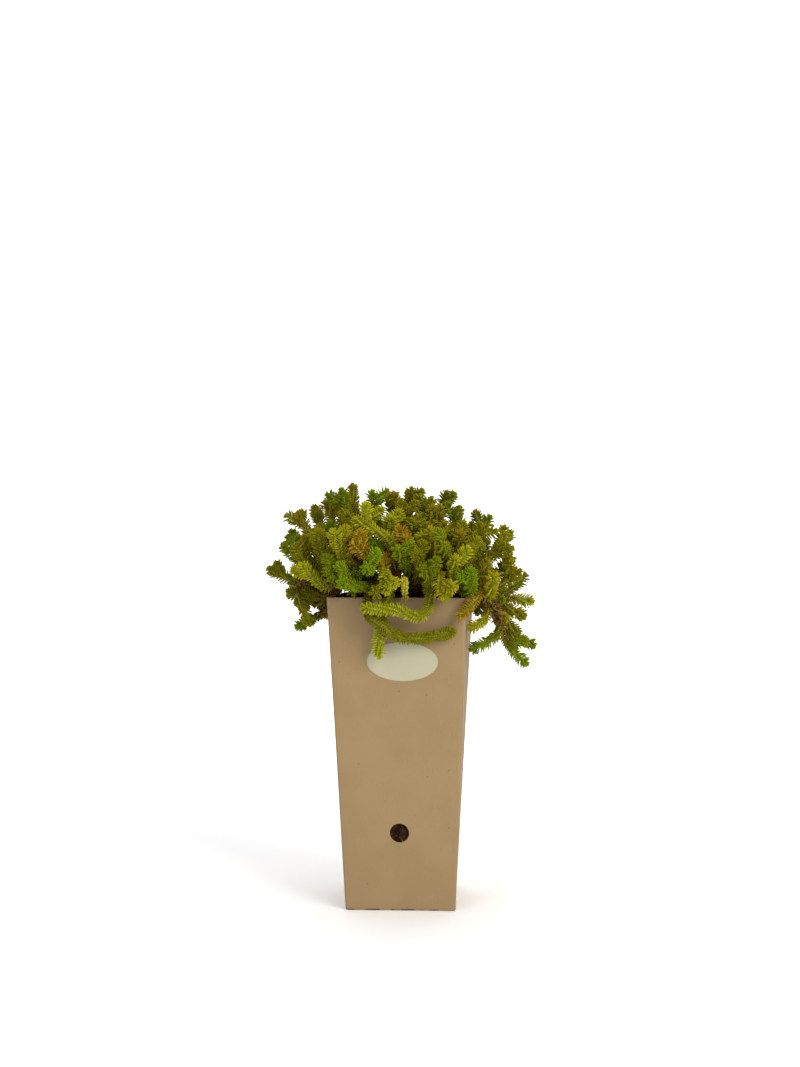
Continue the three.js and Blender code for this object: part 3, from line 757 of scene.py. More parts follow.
@dataclass
class Soil:
    """The soil that fills the pot, rough on top, with loose crumbs on it and behind the hole."""

    carton: Carton
    seat: float = 0.3
    # How far in from the wall, and how far over the rim the soil stands there.
    mound: tuple[Span, ...] = ((0, -1.5), (6, 1), (18, 2), (34, 2.6))
    # The sides are drawn up to this share of the pot's height, and the top down to a small core.
    side_share: float = 0.96
    side_levels: int = 12
    rings: int = 30
    core: float = 1.0
    # The height of the lumps, and how many coarse and fine ones lie along a millimetre.
    roughness: float = 1.1
    lumps: Span = (0.45, 1.3)
    # The fine lumps' share of the height, and how far from the wall all lumps reach theirs.
    fine_share: float = 0.5
    wall_fade: float = 3.0
    window_sides: int = 16
    crumb_density: float = 0.26
    crumb_size: Span = (0.45, 1.5)
    crumb_lumps: float = 2.3
    crumb_swell: Span = (0.6, 1.3)
    seed: int = 31

    def rise(self, inward: float | Array) -> Array:
        """How far the soil stands over the rim at a distance in from the inner wall."""
        return np.interp(inward, *zip(*self.mound))

    def top(self) -> list[Array]:
        """Draws the rough top as loops.

        Returns:
            The loops, from the wall to the middle.
        """
        wall = self.carton.board + self.seat
        deepest = self.carton.rim_width / 2 - wall - self.core
        coarse, fine = self.lumps
        loops = []
        for inward in np.linspace(0, deepest, self.rings):
            loop = self.carton.loop(self.carton.height, wall + inward)
            rough = [noise.noise(Vector(p) * coarse) + self.fine_share * noise.noise(Vector(p) * fine)
                     for p in loop]
            fade = min(1.0, inward / self.wall_fade)
            loop[:, 2] += self.rise(inward) + self.roughness * fade * np.array(rough)
            loops.append(loop)
        return loops

    def build(self) -> None:
        """Fills the pot and scatters the crumbs."""
        wall = self.carton.board + self.seat
        heights = np.linspace(wall, self.carton.height * self.side_share, self.side_levels)
        top = self.top()
        loops = [self.carton.loop(z, wall) for z in heights] + top
        soil = new_piece("potting_soil", np.concatenate(loops), loft_faces(len(loops), len(top[0])))
        finish = PottingSoil().material()
        soil.data.materials.append(finish)
        soil.data.shade_smooth()
        dress(soil, "potting_soil", "soil")
        self.crumbs(top, finish)

    def crumbs(self, top: list[Array], finish: bpy.types.Material) -> None:
        """Scatters loose crumbs over the top and behind the hole.

        Args:
            top: The loops of the soil's top.
            finish: The crumbs' material.
        """
        behind = self.carton.hole(-self.carton.board - self.seat, self.window_sides)
        first = len(top) * len(top[0])
        faces = loft_faces(len(top), len(top[0]), closed=False)
        faces.append(tuple(range(first, first + self.window_sides)))
        crumbs = new_piece("soil_crumbs", np.concatenate(top + [behind]), faces)
        self.crumb_tree().grow(crumbs, {
            "Density": self.crumb_density / MM ** 2, "Smallest": self.crumb_size[0] * MM,
            "Largest": self.crumb_size[1] * MM, "Seed": self.seed, "Finish": finish})
        dress(crumbs, "potting_soil")

    def crumb_tree(self) -> Grower:
        """Makes the tree that scatters lumpy crumbs over faces.

        Returns:
            The tree.
        """
        tree = Grower.new("scattered crumbs", {
            "Density": 1.0, "Smallest": 0.001, "Largest": 0.002, "Seed": 0, "Finish": bpy.types.Material})
        seed = tree.given("Seed")
        spots = tree.add("GeometryNodeDistributePointsOnFaces", links={
            "Mesh": tree.given("Geometry"), "Density": tree.given("Density"), "Seed": seed})
        ball = tree.add("GeometryNodeMeshIcoSphere", links={"Radius": 0.5, "Subdivisions": 1})
        place = tree.add("GeometryNodeInputPosition")
        lumps = tree.add("ShaderNodeTexNoise", links={"Vector": place, "Scale": self.crumb_lumps})
        swell = tree.add("ShaderNodeMapRange", links={
            "Value": lumps, "From Min": NOISE_SPAN[0], "From Max": NOISE_SPAN[1],
            "To Min": self.crumb_swell[0], "To Max": self.crumb_swell[1]})
        swollen = tree.add("ShaderNodeVectorMath", "SCALE", {0: place, "Scale": swell})
        crumb = tree.add("GeometryNodeSetPosition", links={"Geometry": ball, "Position": swollen})
        turn = tree.add("FunctionNodeRandomValue", {"data_type": "FLOAT_VECTOR"}, {
            "Max": (FULL_TURN,) * 3, "Seed": seed})
        size = tree.add("FunctionNodeRandomValue", links={
            "Min": tree.given("Smallest"), "Max": tree.given("Largest"), "Seed": seed})
        spread = tree.add("GeometryNodeInstanceOnPoints", links={
            "Points": spots, "Instance": crumb,
            "Rotation": tree.add("FunctionNodeEulerToRotation", links=(turn,)), "Scale": size})
        real = tree.add("GeometryNodeRealizeInstances", links=(spread,))
        coated = tree.add("GeometryNodeSetMaterial", links={
            "Geometry": real, "Material": tree.given("Finish")})
        tree.add("NodeGroupOutput", links=(coated,))
        return tree


# Where the shoots go, by the same rule as in the CAD source


class Tone(Enum):
    """The green of a shoot: its place on the leaf's colour ramp, and its sRGB colour."""

    GREEN = (0.0, "#6a8404")
    MOSS = (0.2, "#626d02")
    OLIVE = (0.4, "#716e02")
    LIME = (0.6, "#929506")
    PALE = (0.8, "#d0c840")
    RUST = (1.0, "#8a6806")


# Shoots listed one by one: each one's tone, and points from where its leaves begin to its tip
PLACED: tuple[tuple[Any, ...], ...] = (
    # Over the front rim
    (Tone.LIME, (20, -51, 236), (24, -61, 223), (18, -65, 212), (8, -67, 213), (-2, -67, 217),
     (-13, -69, 217), (-24, -69, 218)),
    (Tone.LIME, (-9, -53, 229), (-14, -57, 215), (-15, -58, 198), (-15, -57, 184)),
    (Tone.OLIVE, (-23, -59, 225), (-21, -65, 212), (-11, -67, 208), (-1, -60, 197), (18, -55, 196),
     (38, -53, 201)),
    (Tone.RUST, (60, -47, 230), (43, -55, 211)),
    # Front of the cushion
    (Tone.OLIVE, (-53, -48, 240), (-58, -59, 270)),
    (Tone.LIME, (-34, -60, 242), (-45, -74, 269)),
    (Tone.LIME, (-1, -60, 261), (-16, -65, 271), (-31, -62, 279)),
    (Tone.LIME, (-6, -30, 251), (-9, -42, 280)),
    (Tone.RUST, (-5, -60, 256), (-13, -71, 250), (-22, -77, 254), (-31, -80, 261)),
    (Tone.GREEN, (-18, -53, 239), (-20, -87, 245)),
    (Tone.GREEN, (-21, -59, 230), (-39, -82, 237)),
    (Tone.LIME, (-8, -52, 251), (-9, -71, 247), (-7, -74, 232)),
    (Tone.GREEN, (4, -52, 239), (-1, -74, 258)),
    (Tone.LIME, (-46, -54, 229), (-67, -65, 247)),
    (Tone.MOSS, (-39, -52, 230), (-49, -76, 243)),
    (Tone.PALE, (4, -56, 222), (3, -66, 238)),
    (Tone.OLIVE, (-12, -46, 232), (-14, -75, 230)),
    (Tone.LIME, (29, -51, 246), (28, -69, 239), (31, -73, 226)),
    (Tone.GREEN, (39, -44, 240), (37, -58, 225)),
    (Tone.LIME, (57, -42, 224), (62, -61, 242)),
    (Tone.GREEN, (47, -48, 224), (50, -66, 243)),
    (Tone.LIME, (41, -50, 230), (39, -72, 251)),
    (Tone.LIME, (29, -45, 248), (23, -61, 270)),
    (Tone.OLIVE, (36, -32, 247), (34, -46, 273)),
    (Tone.OLIVE, (41, -38, 244), (42, -58, 267)),
    (Tone.OLIVE, (45, -43, 237), (49, -58, 258)),
    (Tone.GREEN, (32, -49, 246), (30, -81, 260)),
    (Tone.OLIVE, (15, -51, 239), (14, -79, 255)),
    (Tone.OLIVE, (10, -32, 252), (9, -42, 279)),
    (Tone.OLIVE, (19, -31, 251), (17, -45, 275)),
    (Tone.RUST, (10, -42, 244), (4, -62, 265)),
    (Tone.MOSS, (22, -51, 230), (18, -81, 246)),
    # Right side
    (Tone.MOSS, (51, 8, 256), (65, 11, 280)),
    (Tone.OLIVE, (48, -18, 251), (57, -21, 275)),
    (Tone.OLIVE, (59, 9, 248), (78, 16, 271)),
    (Tone.OLIVE, (53, -13, 246), (79, -14, 259)),
    (Tone.OLIVE, (62, 18, 228), (78, 24, 248)),
    (Tone.OLIVE, (65, -7, 225), (84, -6, 242)),
    (Tone.MOSS, (72, 25, 220), (90, 30, 237)),
    (Tone.LIME, (68, 7, 223), (94, 8, 220)),
    (Tone.OLIVE, (61, -19, 222), (86, -20, 210)),
    (Tone.OLIVE, (66, 17, 218), (86, 22, 196)),
    (Tone.MOSS, (68, -1, 212), (76, 2, 196), (96, 7, 187)),
    (Tone.GREEN, (68, -23, 210), (76, -20, 191), (90, -16, 176)),
    (Tone.GREEN, (68, -37, 218), (73, -35, 199), (51, -28, 186)),
    (Tone.LIME, (60, -31, 222), (64, -41, 211), (50, -44, 204)),
    (Tone.MOSS, (62, 11, 229), (55, 17, 210)),
    # Left side
    (Tone.MOSS, (-69, 11, 246), (-85, 18, 270)),
    (Tone.MOSS, (-65, -33, 239), (-84, -30, 262)),
    (Tone.OLIVE, (-69, -13, 228), (-97, -13, 243)),
    (Tone.OLIVE, (-69, -29, 238), (-78, -30, 231), (-67, -29, 206)),
    (Tone.OLIVE, (-60, 3, 239), (-66, 9, 216)),
    (Tone.OLIVE, (-57, -45, 240), (-73, -49, 261)),
    # Crown
    (Tone.OLIVE, (-67, -8, 256), (-76, -6, 285)),
    (Tone.OLIVE, (-56, 12, 261), (-67, 19, 289)),
    (Tone.OLIVE, (-48, -7, 264), (-57, -1, 293)),
    (Tone.MOSS, (-44, 20, 267), (-52, 28, 296)),
    (Tone.MOSS, (-37, -16, 271), (-43, -18, 300)),
    (Tone.OLIVE, (-34, 4, 274), (-38, 8, 305)),
    (Tone.OLIVE, (-31, -31, 258), (-38, -40, 282)),
    (Tone.LIME, (-23, -21, 258), (-26, -23, 286)),
    (Tone.GREEN, (-20, 7, 269), (-23, 7, 300)),
    (Tone.OLIVE, (-9, -8, 267), (-9, -8, 298)),
    (Tone.OLIVE, (3, 5, 270), (5, 8, 302)),
    (Tone.MOSS, (14, 19, 265), (14, 25, 295)),
    (Tone.OLIVE, (19, -11, 265), (21, -11, 295)),
    (Tone.MOSS, (25, 11, 270), (33, 16, 299)),
    (Tone.OLIVE, (26, -27, 261), (27, -31, 289)),
    (Tone.MOSS, (34, -3, 262), (42, -3, 288)),
    (Tone.OLIVE, (41, 16, 253), (50, 24, 277)),
)


@dataclass(eq=False)
class Shoot:
    """One shoot: its listed points, and its centre line from the root to the tip.

    The line is where it rests plus how far it has moved. Rows counts the rows of leaves that the
    CAD solid has. A side shoot has no solid and starts on another shoot.
    """

    course: Array
    tone: Tone
    by_hand: bool = False
    side: bool = False
    branched: bool = False
    rows: int = 0
    line: Array = field(default_factory=lambda: np.zeros((0, 3)))
    rest: Array = field(default_factory=lambda: np.zeros((0, 3)))
    moved: Array = field(default_factory=lambda: np.zeros((0, 3)))


@dataclass
class Draws:
    """Random draws between 0 and 1 that are the same run for the same seed."""

    state: int

    def next(self) -> float:
        """The next draw."""
        self.state = (self.state * 1664525 + 1013904223) % 2 ** 32
        return self.state / 2 ** 32

    def either_side(self, most: float) -> float:
        """A draw between minus and plus a value."""
        return most * (2 * self.next() - 1)

    def between(self, span: Span) -> float:
        """A draw between two values."""
        share = self.next()
        return (1 - share) * span[0] + share * span[1]


def direction(turn: float, rise: float) -> Array:
    """The unit vector at an angle round the Z axis and an angle over the ground."""
    return np.array((math.cos(turn) * math.cos(rise), math.sin(turn) * math.cos(rise), math.sin(rise)))


def nearest_whole(value: float) -> int:
    """The nearest whole number, halves going up."""
    return math.floor(value + 0.5)


@dataclass
class Planting:
    """The rule that places every shoot and finds it room beside the others."""

    carton: Carton
    soil: Soil
    seed: int = 6155
    # Where the plants stand in the soil, and how many shoots each may have
    root_rows: int = 7
    roots_in_row: int = 8
    root_field: float = 76.0
    root_stray: float = 1.5
    most_shoots: int = 3
    high_inward: float = 0.42
    low_inward: float = 0.68
    high_shoot: float = 50.0
    # How a centre line leaves the soil and crosses the rim
    root_depth: float = 5.0
    upright_height: float = 10.0
    rim_crossing: float = 12.0
    crossing_reach: float = 4.0
    path_cuts: int = 3
    row_pitch: float = 5.0
    upright_rows: int = 2
    leafy_extra: float = 2.0
    # How shoots are pushed apart
    stem_radius: float = 1.25
    leaf_reach: float = 4.4
    clearance: float = 0.5
    leafy_rounds: int = 160
    stem_rounds: int = 110
    settle_step: float = 0.5
    stiffness: float = 0.88
    placed_yield: float = 0.35
    push_share: float = 0.6
    skin: float = 2.0
    # The dome of tips that fills the room between the listed shoots
    fill_tries: int = 420
    fill_spacing: float = 18.5
    cushion: Point = (88.0, 80.0, 72.0)
    cushion_lift: float = 4.0
    cushion_span: Span = (-0.42, 0.97)
    tip_depth: Span = (0.84, 0.98)
    low_droop: float = math.radians(-20)
    high_lift: float = math.radians(22)
    head_stray: float = math.radians(15)
    head_swing: float = math.radians(25)
    head_length: Span = (26.0, 36.0)
    # Further forward than this, no tip of the dome lies lower than this over the rim.
    front_depth: float = -35.0
    front_lowest: float = 15.0
    # The share of each tone, in the order of Tone
    tone_shares: tuple[float, ...] = (0.17, 0.31, 0.34, 0.13, 0.0, 0.05)

    def room(self, points: Array) -> tuple[Array, Array]:
        """How far points lie from the pot and its soil, and the way that leads clear of them.

        Args:
            points: One point a row.

        Returns:
            The distances, and one unit vector a row.
        """
        turn = self.carton.turn(points[:, 2])
        cos, sin = np.cos(turn), np.sin(turn)
        u = points[:, 0] * cos + points[:, 1] * sin
        v = points[:, 1] * cos - points[:, 0] * sin
        half = self.carton.half_width(points[:, 2])
        inward = half - np.maximum(np.abs(u), np.abs(v)) - self.carton.board
        ground = self.carton.height + np.where(inward > 0, self.soil.rise(inward), 0)
        away = np.column_stack((np.sign(u) * np.maximum(np.abs(u) - half, 0),
                                np.sign(v) * np.maximum(np.abs(v) - half, 0),
                                np.maximum(points[:, 2] - ground, 0)))
        distance = np.linalg.norm(away, axis=1)
        inside = distance < 1e-6
        away /= np.where(inside, 1, distance)[:, None]
        turned = np.column_stack((away[:, 0] * cos - away[:, 1] * sin,
                                  away[:, 0] * sin + away[:, 1] * cos, away[:, 2]))
        turned[inside] = UP
        return np.where(inside, points[:, 2] - ground, distance), turned

    def fill(self, placed: list[Shoot], draws: Draws, tones: np.random.Generator) -> list[Shoot]:
        """Adds shoots where the listed ones leave room: tips spread evenly over a dome.

        Args:
            placed: The listed shoots.
            draws: The source of the same draws as in the CAD source.
            tones: The source of the tones.

        Returns:
            The added shoots.
        """
        tips = [shoot.course[-1] for shoot in placed]
        shoots = []
        for i in range(self.fill_tries):
            turn = i * GOLDEN_TURN
            share = (i + 0.5) / self.fill_tries
            rise = math.asin((1 - share) * self.cushion_span[0] + share * self.cushion_span[1])
            tip = direction(turn, rise) * self.cushion * draws.between(self.tip_depth)
            tip[2] += self.carton.height + self.cushion_lift
            head_rise = rise + (self.low_droop if rise < 0 else self.high_lift)
            head_rise += draws.either_side(self.head_stray)
            heading = direction(turn + draws.either_side(self.head_swing), head_rise)
            base = tip - heading * draws.between(self.head_length)
            if tip[1] < self.front_depth and tip[2] < self.carton.height + self.front_lowest:
                continue
            if any(np.linalg.norm(tip - other) < self.fill_spacing for other in tips):
                continue
            if self.room(np.array((tip, base)))[0].min() < self.leaf_reach:
                continue
            tips.append(tip)
            shoots.append(Shoot(np.array((base, tip)), tones.choice(list(Tone), p=self.tone_shares)))
        return shoots

    def roots(self, draws: Draws) -> Array:
        """Finds where plants can stand in the soil: staggered rows, each a little out of line.

        Args:
            draws: The source of random draws.

        Returns:
            One place a row.
        """
        places = []
        for row in range(self.root_rows):
            for i in range(self.roots_in_row):
                x = ((i + 0.25 + 0.5 * (row % 2)) / self.roots_in_row - 0.5) * self.root_field
                y = ((row + 0.5) / self.root_rows - 0.5) * self.root_field
                places.append((x + self.root_stray * (draws.next() - 0.5),
                               y + self.root_stray * (draws.next() - 0.5)))
        return np.array(places)

    def group(self, shoots: list[Shoot], places: Array) -> list[tuple[Array, list[Shoot]]]:
        """Gives every shoot a plant near below it. A low shoot comes from further out.

        Args:
            shoots: All shoots.
            places: Where plants can stand.

        Returns:
            The place and the shoots of every plant.
        """
        distances = []
        for shoot in shoots:
            first = shoot.course[0]
            share = float(np.clip((first[2] - self.carton.height) / self.high_shoot, 0, 1))
            inward = (1 - share) * self.low_inward + share * self.high_inward
            distances.append(np.linalg.norm(first[:2] * inward - places, axis=1))
        housed: set[int] = set()
        plants: list[list[Shoot]] = [[] for _ in places]
        for choice in np.argsort(np.array(distances).ravel(), kind="stable"):
            which, place = divmod(int(choice), len(places))
            if which in housed or len(plants[place]) == self.most_shoots:
                continue
            plants[place].append(shoots[which])
            housed.add(which)
        return [(root, own) for root, own in zip(places, plants) if own]

    def even_path(self, path: Array) -> Array:
        """Spaces points evenly along a path, as near to one row of leaves apart as fits.

        Args:
            path: The path's corners.

        Returns:
            The points.
        """
        along = np.concatenate(([0], np.cumsum(np.linalg.norm(np.diff(path, axis=0), axis=1))))
        count = nearest_whole(along[-1] / self.row_pitch)
        at = along[-1] * np.arange(count + 1) / count
        return np.column_stack([np.interp(at, along, path[:, axis]) for axis in range(3)])

    def start_line(self, shoot: Shoot, root: Array) -> None:
        """Draws a shoot's centre line from its root to its tip, over the rim where it has to be.

        Args:
            shoot: The shoot, which gets its line and its number of rows.
            root: Where its plant stands.
        """
        base, height = np.array((*root, 0.0)), self.carton.height
        path = [base + UP * (height - self.root_depth), base + UP * (height + self.upright_height)]
        first = shoot.course[0]
        low = first[2] < height + self.upright_height
        if low and self.room(first[None])[0][0] > 0:
            reach = (self.carton.rim_width / 2 + self.crossing_reach) / np.abs(first[:2]).max()
            path.append(np.array((*(first[:2] * reach), height + self.rim_crossing)))
        path.extend(shoot.course)
        # Cutting off every corner again and again rounds the path.
        for _ in range(self.path_cuts):
            corners = [path[0]]
            for a, b in zip(path, path[1:]):
                corners += [a * 0.75 + b * 0.25, a * 0.25 + b * 0.75]
            path = corners + [path[-1]]
        shoot.line = self.even_path(np.array(path))
        shoot.rest = shoot.line.copy()
        shoot.moved = np.zeros_like(shoot.line)
        listed = self.leafy_extra + np.linalg.norm(np.diff(shoot.course, axis=0), axis=1).sum()
        shoot.rows = nearest_whole(listed / self.row_pitch)

    def settle(self, shoots: list[Shoot], rounds: int, leafy_reach: float) -> None:
        """Pushes neighbouring shoots apart, and all of them off the pot, until they have room.

        Args:
            shoots: All shoots. Their lines are changed.
            rounds: How many rounds of pushes there are.
            leafy_reach: How much room a leafy stretch takes beside its centre line.
        """
        # Every point of every line stands in one row of points, with the ends of its own line.
        sizes = [len(shoot.line) for shoot in shoots]
        owner = np.repeat(np.arange(len(shoots)), sizes)
        first = np.repeat(np.cumsum([0] + sizes[:-1]), sizes)
        last = first + np.repeat(sizes, sizes) - 1
        index = np.arange(len(owner))
        rows = np.repeat([shoot.rows for shoot in shoots], sizes)
        yields = np.repeat([self.placed_yield if s.by_hand else 1.0 for s in shoots], sizes)
        free = index - first > self.upright_rows
        to_pot = np.where(index > last - rows - 2, self.leaf_reach, self.stem_radius) + self.clearance
        rest = np.concatenate([shoot.rest for shoot in shoots])
        moved = np.concatenate([shoot.moved for shoot in shoots])
        run = np.flatnonzero(index < last)
        leafy = index[run] >= last[run] - 1 - rows[run]
        reach = np.where(leafy, leafy_reach, self.stem_radius + self.clearance)
        before, after = np.maximum(index - 1, first), np.minimum(index + 1, last)
        line = rest + moved
        listed_at, pairs = None, None
        for _ in range(rounds):
            if listed_at is None or np.abs(line - listed_at).max() > self.skin / 2:
                pairs, listed_at = self.neighbours(line, run, owner, reach), line.copy()
            pushes = self.pushes(line, run, pairs, reach, yields)
            side = (1 - self.push_share) / 2
            push = pushes * self.push_share + (pushes[before] + pushes[after]) * side
            length = np.maximum(np.linalg.norm(push, axis=1), 1e-12)
            push *= np.minimum(self.settle_step / length, 1)[:, None]
            moved = moved + push * free[:, None]
            side = (1 - self.stiffness) / 2
            blended = moved * self.stiffness + (moved[before] + moved[after]) * side
            moved = np.where(free[:, None], blended, moved)
            distance, away = self.room(rest + moved)
            lack = np.where(free, np.clip(to_pot - distance, 0, 2 * self.settle_step), 0)
            moved = moved + away * lack[:, None]
            line = rest + moved
        for which, shoot in enumerate(shoots):
            shoot.line = line[owner == which]
            shoot.moved = moved[owner == which]

    def neighbours(self, line: Array, run: Array, owner: Array, reach: Array) -> tuple[Array, Array]:
        """Finds pairs of stretches of different shoots that lie near enough to meet soon.

        Args:
            line: Every point.
            run: The first point of every stretch.
            owner: Which shoot each point belongs to.
            reach: How much room each stretch takes.

        Returns:
            The first and the second stretch of every pair.
        """
        middle = (line[run] + line[run + 1]) / 2
        half = np.linalg.norm(line[run + 1] - line[run], axis=1) / 2
        size = reach + half + 2 * self.skin
        found = []
        for m in range(len(run) - 1):
            apart = np.linalg.norm(middle[m + 1:] - middle[m], axis=1)
            near = (apart < size[m + 1:] + size[m]) & (owner[run[m + 1:]] != owner[run[m]])
            others = np.flatnonzero(near) + m + 1
            found.append(np.stack((np.full(len(others), m), others)))
        first, second = np.concatenate(found, axis=1)
        return first, second

    def pushes(self, line: Array, run: Array, pairs: tuple[Array, Array], reach: Array,
               yields: Array) -> Array:
        """What every point is pushed by from the stretches that lie too near.

        Args:
            line: Every point.
            run: The first point of every stretch.
            pairs: The two stretches of every pair to look at.
            reach: How much room each stretch takes.
            yields: How readily each point gives way.

        Returns:
            One push a point.
        """
        first, second = pairs
        a, b = run[first], run[second]
        # The nearest places of two stretches, as shares s and t of their lengths
        run_a, run_b, between = line[a + 1] - line[a], line[b + 1] - line[b], line[a] - line[b]
        aa, bb, ab = ((p * q).sum(1) for p, q in ((run_a, run_a), (run_b, run_b), (run_a, run_b)))
        at_a, at_b = (run_a * between).sum(1), (run_b * between).sum(1)
        spread = aa * bb - ab * ab
        crossing = (ab * at_b - bb * at_a) / np.where(spread > 1e-9, spread, 1)
        s = np.where(spread > 1e-9, np.clip(crossing, 0, 1), 0.5)
        t = np.clip((ab * s + at_b) / bb, 0, 1)
        s = np.clip((ab * t - at_a) / aa, 0, 1)
        apart = between + run_a * s[:, None] - run_b * t[:, None]
        distance = np.linalg.norm(apart, axis=1)
        lack = reach[first] + reach[second] - distance
        far = reach[first] + reach[second] + 2 * self.row_pitch
        near = (lack > 0) & (distance >= 1e-6) & (np.abs(between) <= far[:, None]).all(1)
        a, b, s, t, apart = a[near], b[near], s[near, None], t[near, None], apart[near]
        yield_a, yield_b = yields[a][:, None], yields[b][:, None]
        apart = apart * (lack[near] / distance[near])[:, None] / (yield_a + yield_b)
        pushes = np.zeros_like(line)
        for place, push in ((a, yield_a * (1 - s)), (a + 1, yield_a * s),
                            (b, -yield_b * (1 - t)), (b + 1, -yield_b * t)):
            np.add.at(pushes, place, apart * push)
        return pushes

    def hangs_in_front(self, shoot: Shoot) -> bool:
        """Whether a shoot ends in front of the front wall, below the rim."""
        end = shoot.line[-1]
        return bool(end[2] < self.carton.height and end[1] < -self.carton.rim_width / 2)

    def plants(self) -> list[list[Shoot]]:
        """Places every plant's shoots.

        Returns:
            The shoots of each plant, in the order of the CAD nodes.
        """
        draws, tones = Draws(self.seed), np.random.default_rng(self.seed)
        placed = [Shoot(np.array(course, float), tone, by_hand=True) for tone, *course in PLACED]
        filled = self.fill(placed, draws, tones)
        plants = self.group(placed + filled, self.roots(draws))
        for root, own in plants:
            for shoot in own:
                self.start_line(shoot, root)
        shoots = [shoot for _, own in plants for shoot in own]
        self.settle(shoots, self.leafy_rounds, self.leaf_reach)
        self.settle(shoots, self.stem_rounds, self.stem_radius + 2 * self.clearance)
        for shoot in shoots:
            shoot.line = self.even_path(shoot.line)
        return [own for _, own in plants]


@dataclass
class SideShoots:
    """The rule that adds short side shoots where the shoots leave free room between them.

    Every side shoot starts on a shoot at one of the sites, which are distances from its tip.
    """

    planting: Planting
    lowest_corner: Array
    highest_corner: Array
    sites: tuple[float, ...] = (12.0, 18.0, 24.0, 30.0)
    fewest_rows: int = 5
    tries: int = 14
    leaning: Span = (math.radians(32), math.radians(58))
    lift: float = 0.15
    length: Span = (9.0, 14.0)
    # How far a tip stays from every line, further where it starts low
    spacing: float = 7.6
    low_spacing: float = 12.0
    # How far it stays inside the box round the CAD solids
    margin: float = 6.0
    # The line bends at this share of the way to its tip, moved so far on along the shoot.
    bend_share: float = 0.4
    along: float = 1.2
    points: int = 5
    # A direction that no shoot follows
    askew: Point = (0.36, 0.48, 0.8)
    seed: int = 19

    def add(self, plants: list[list[Shoot]]) -> None:
        """Adds side shoots to every plant.

        Args:
            plants: The shoots of each plant. These lists grow.
        """
        chance = np.random.default_rng(self.seed)
        taken = np.concatenate([shoot.line for own in plants for shoot in own])
        for site in self.sites:
            back = nearest_whole(site / self.planting.row_pitch)
            for own in plants:
                for shoot in [s for s in own if self.may_branch(s, back)]:
                    line = self.side_line(shoot, back, taken, chance)
                    if line is not None:
                        own.append(Shoot(line[-1:], shoot.tone, side=True, line=line))
                        shoot.branched = True
                        taken = np.concatenate((taken, line))

    def may_branch(self, shoot: Shoot, back: int) -> bool:
        """Finds whether a shoot can carry a side shoot.

        Args:
            shoot: The shoot.
            back: How many points back from its tip the side shoot would start.

        Returns:
            Whether it can.
        """
        if shoot.side or shoot.branched or self.planting.hangs_in_front(shoot):
            return False
        return shoot.rows >= self.fewest_rows and back <= min(shoot.rows + 1, len(shoot.line) - 3)

    def side_line(self, shoot: Shoot, back: int, taken: Array, chance: np.random.Generator) -> Array | None:
        """The line of the side shoot with the freest tip, if one has room.

        Args:
            shoot: The shoot that it starts on.
            back: How many points back from the shoot's tip it starts.
            taken: The points of every line so far.
            chance: The source of random draws.

        Returns:
            The points of its line, or nothing.
        """
        start, onward = shoot.line[-1 - back], shoot.line[-back] - shoot.line[-1 - back]
        heading = onward / np.linalg.norm(onward)
        side = np.cross(heading, self.askew)
        side /= np.linalg.norm(side)
        low = start[2] < self.planting.carton.height + self.planting.upright_height
        best, room = None, self.low_spacing if low else self.spacing
        for _ in range(self.tries):
            turn, lean = chance.uniform(0, FULL_TURN), chance.uniform(*self.leaning)
            out = math.cos(turn) * side + math.sin(turn) * np.cross(heading, side)
            way = math.cos(lean) * heading + math.sin(lean) * out
            tip = start + chance.uniform(*self.length) * (way + self.lift * UP)
            inside = np.minimum(tip - self.lowest_corner, self.highest_corner - tip).min() > self.margin
            free = np.linalg.norm(taken - tip, axis=1).min()
            clear = self.planting.room(tip[None])[0][0]
            if inside and free > room and clear > self.planting.leaf_reach:
                best, room = tip, free
        if best is None:
            return None
        bend = start + (best - start) * self.bend_share + self.along * onward / self.planting.row_pitch
        share = np.linspace(0, 1, self.points)[:, None]
        return (1 - share) ** 2 * start + 2 * share * (1 - share) * bend + share ** 2 * best


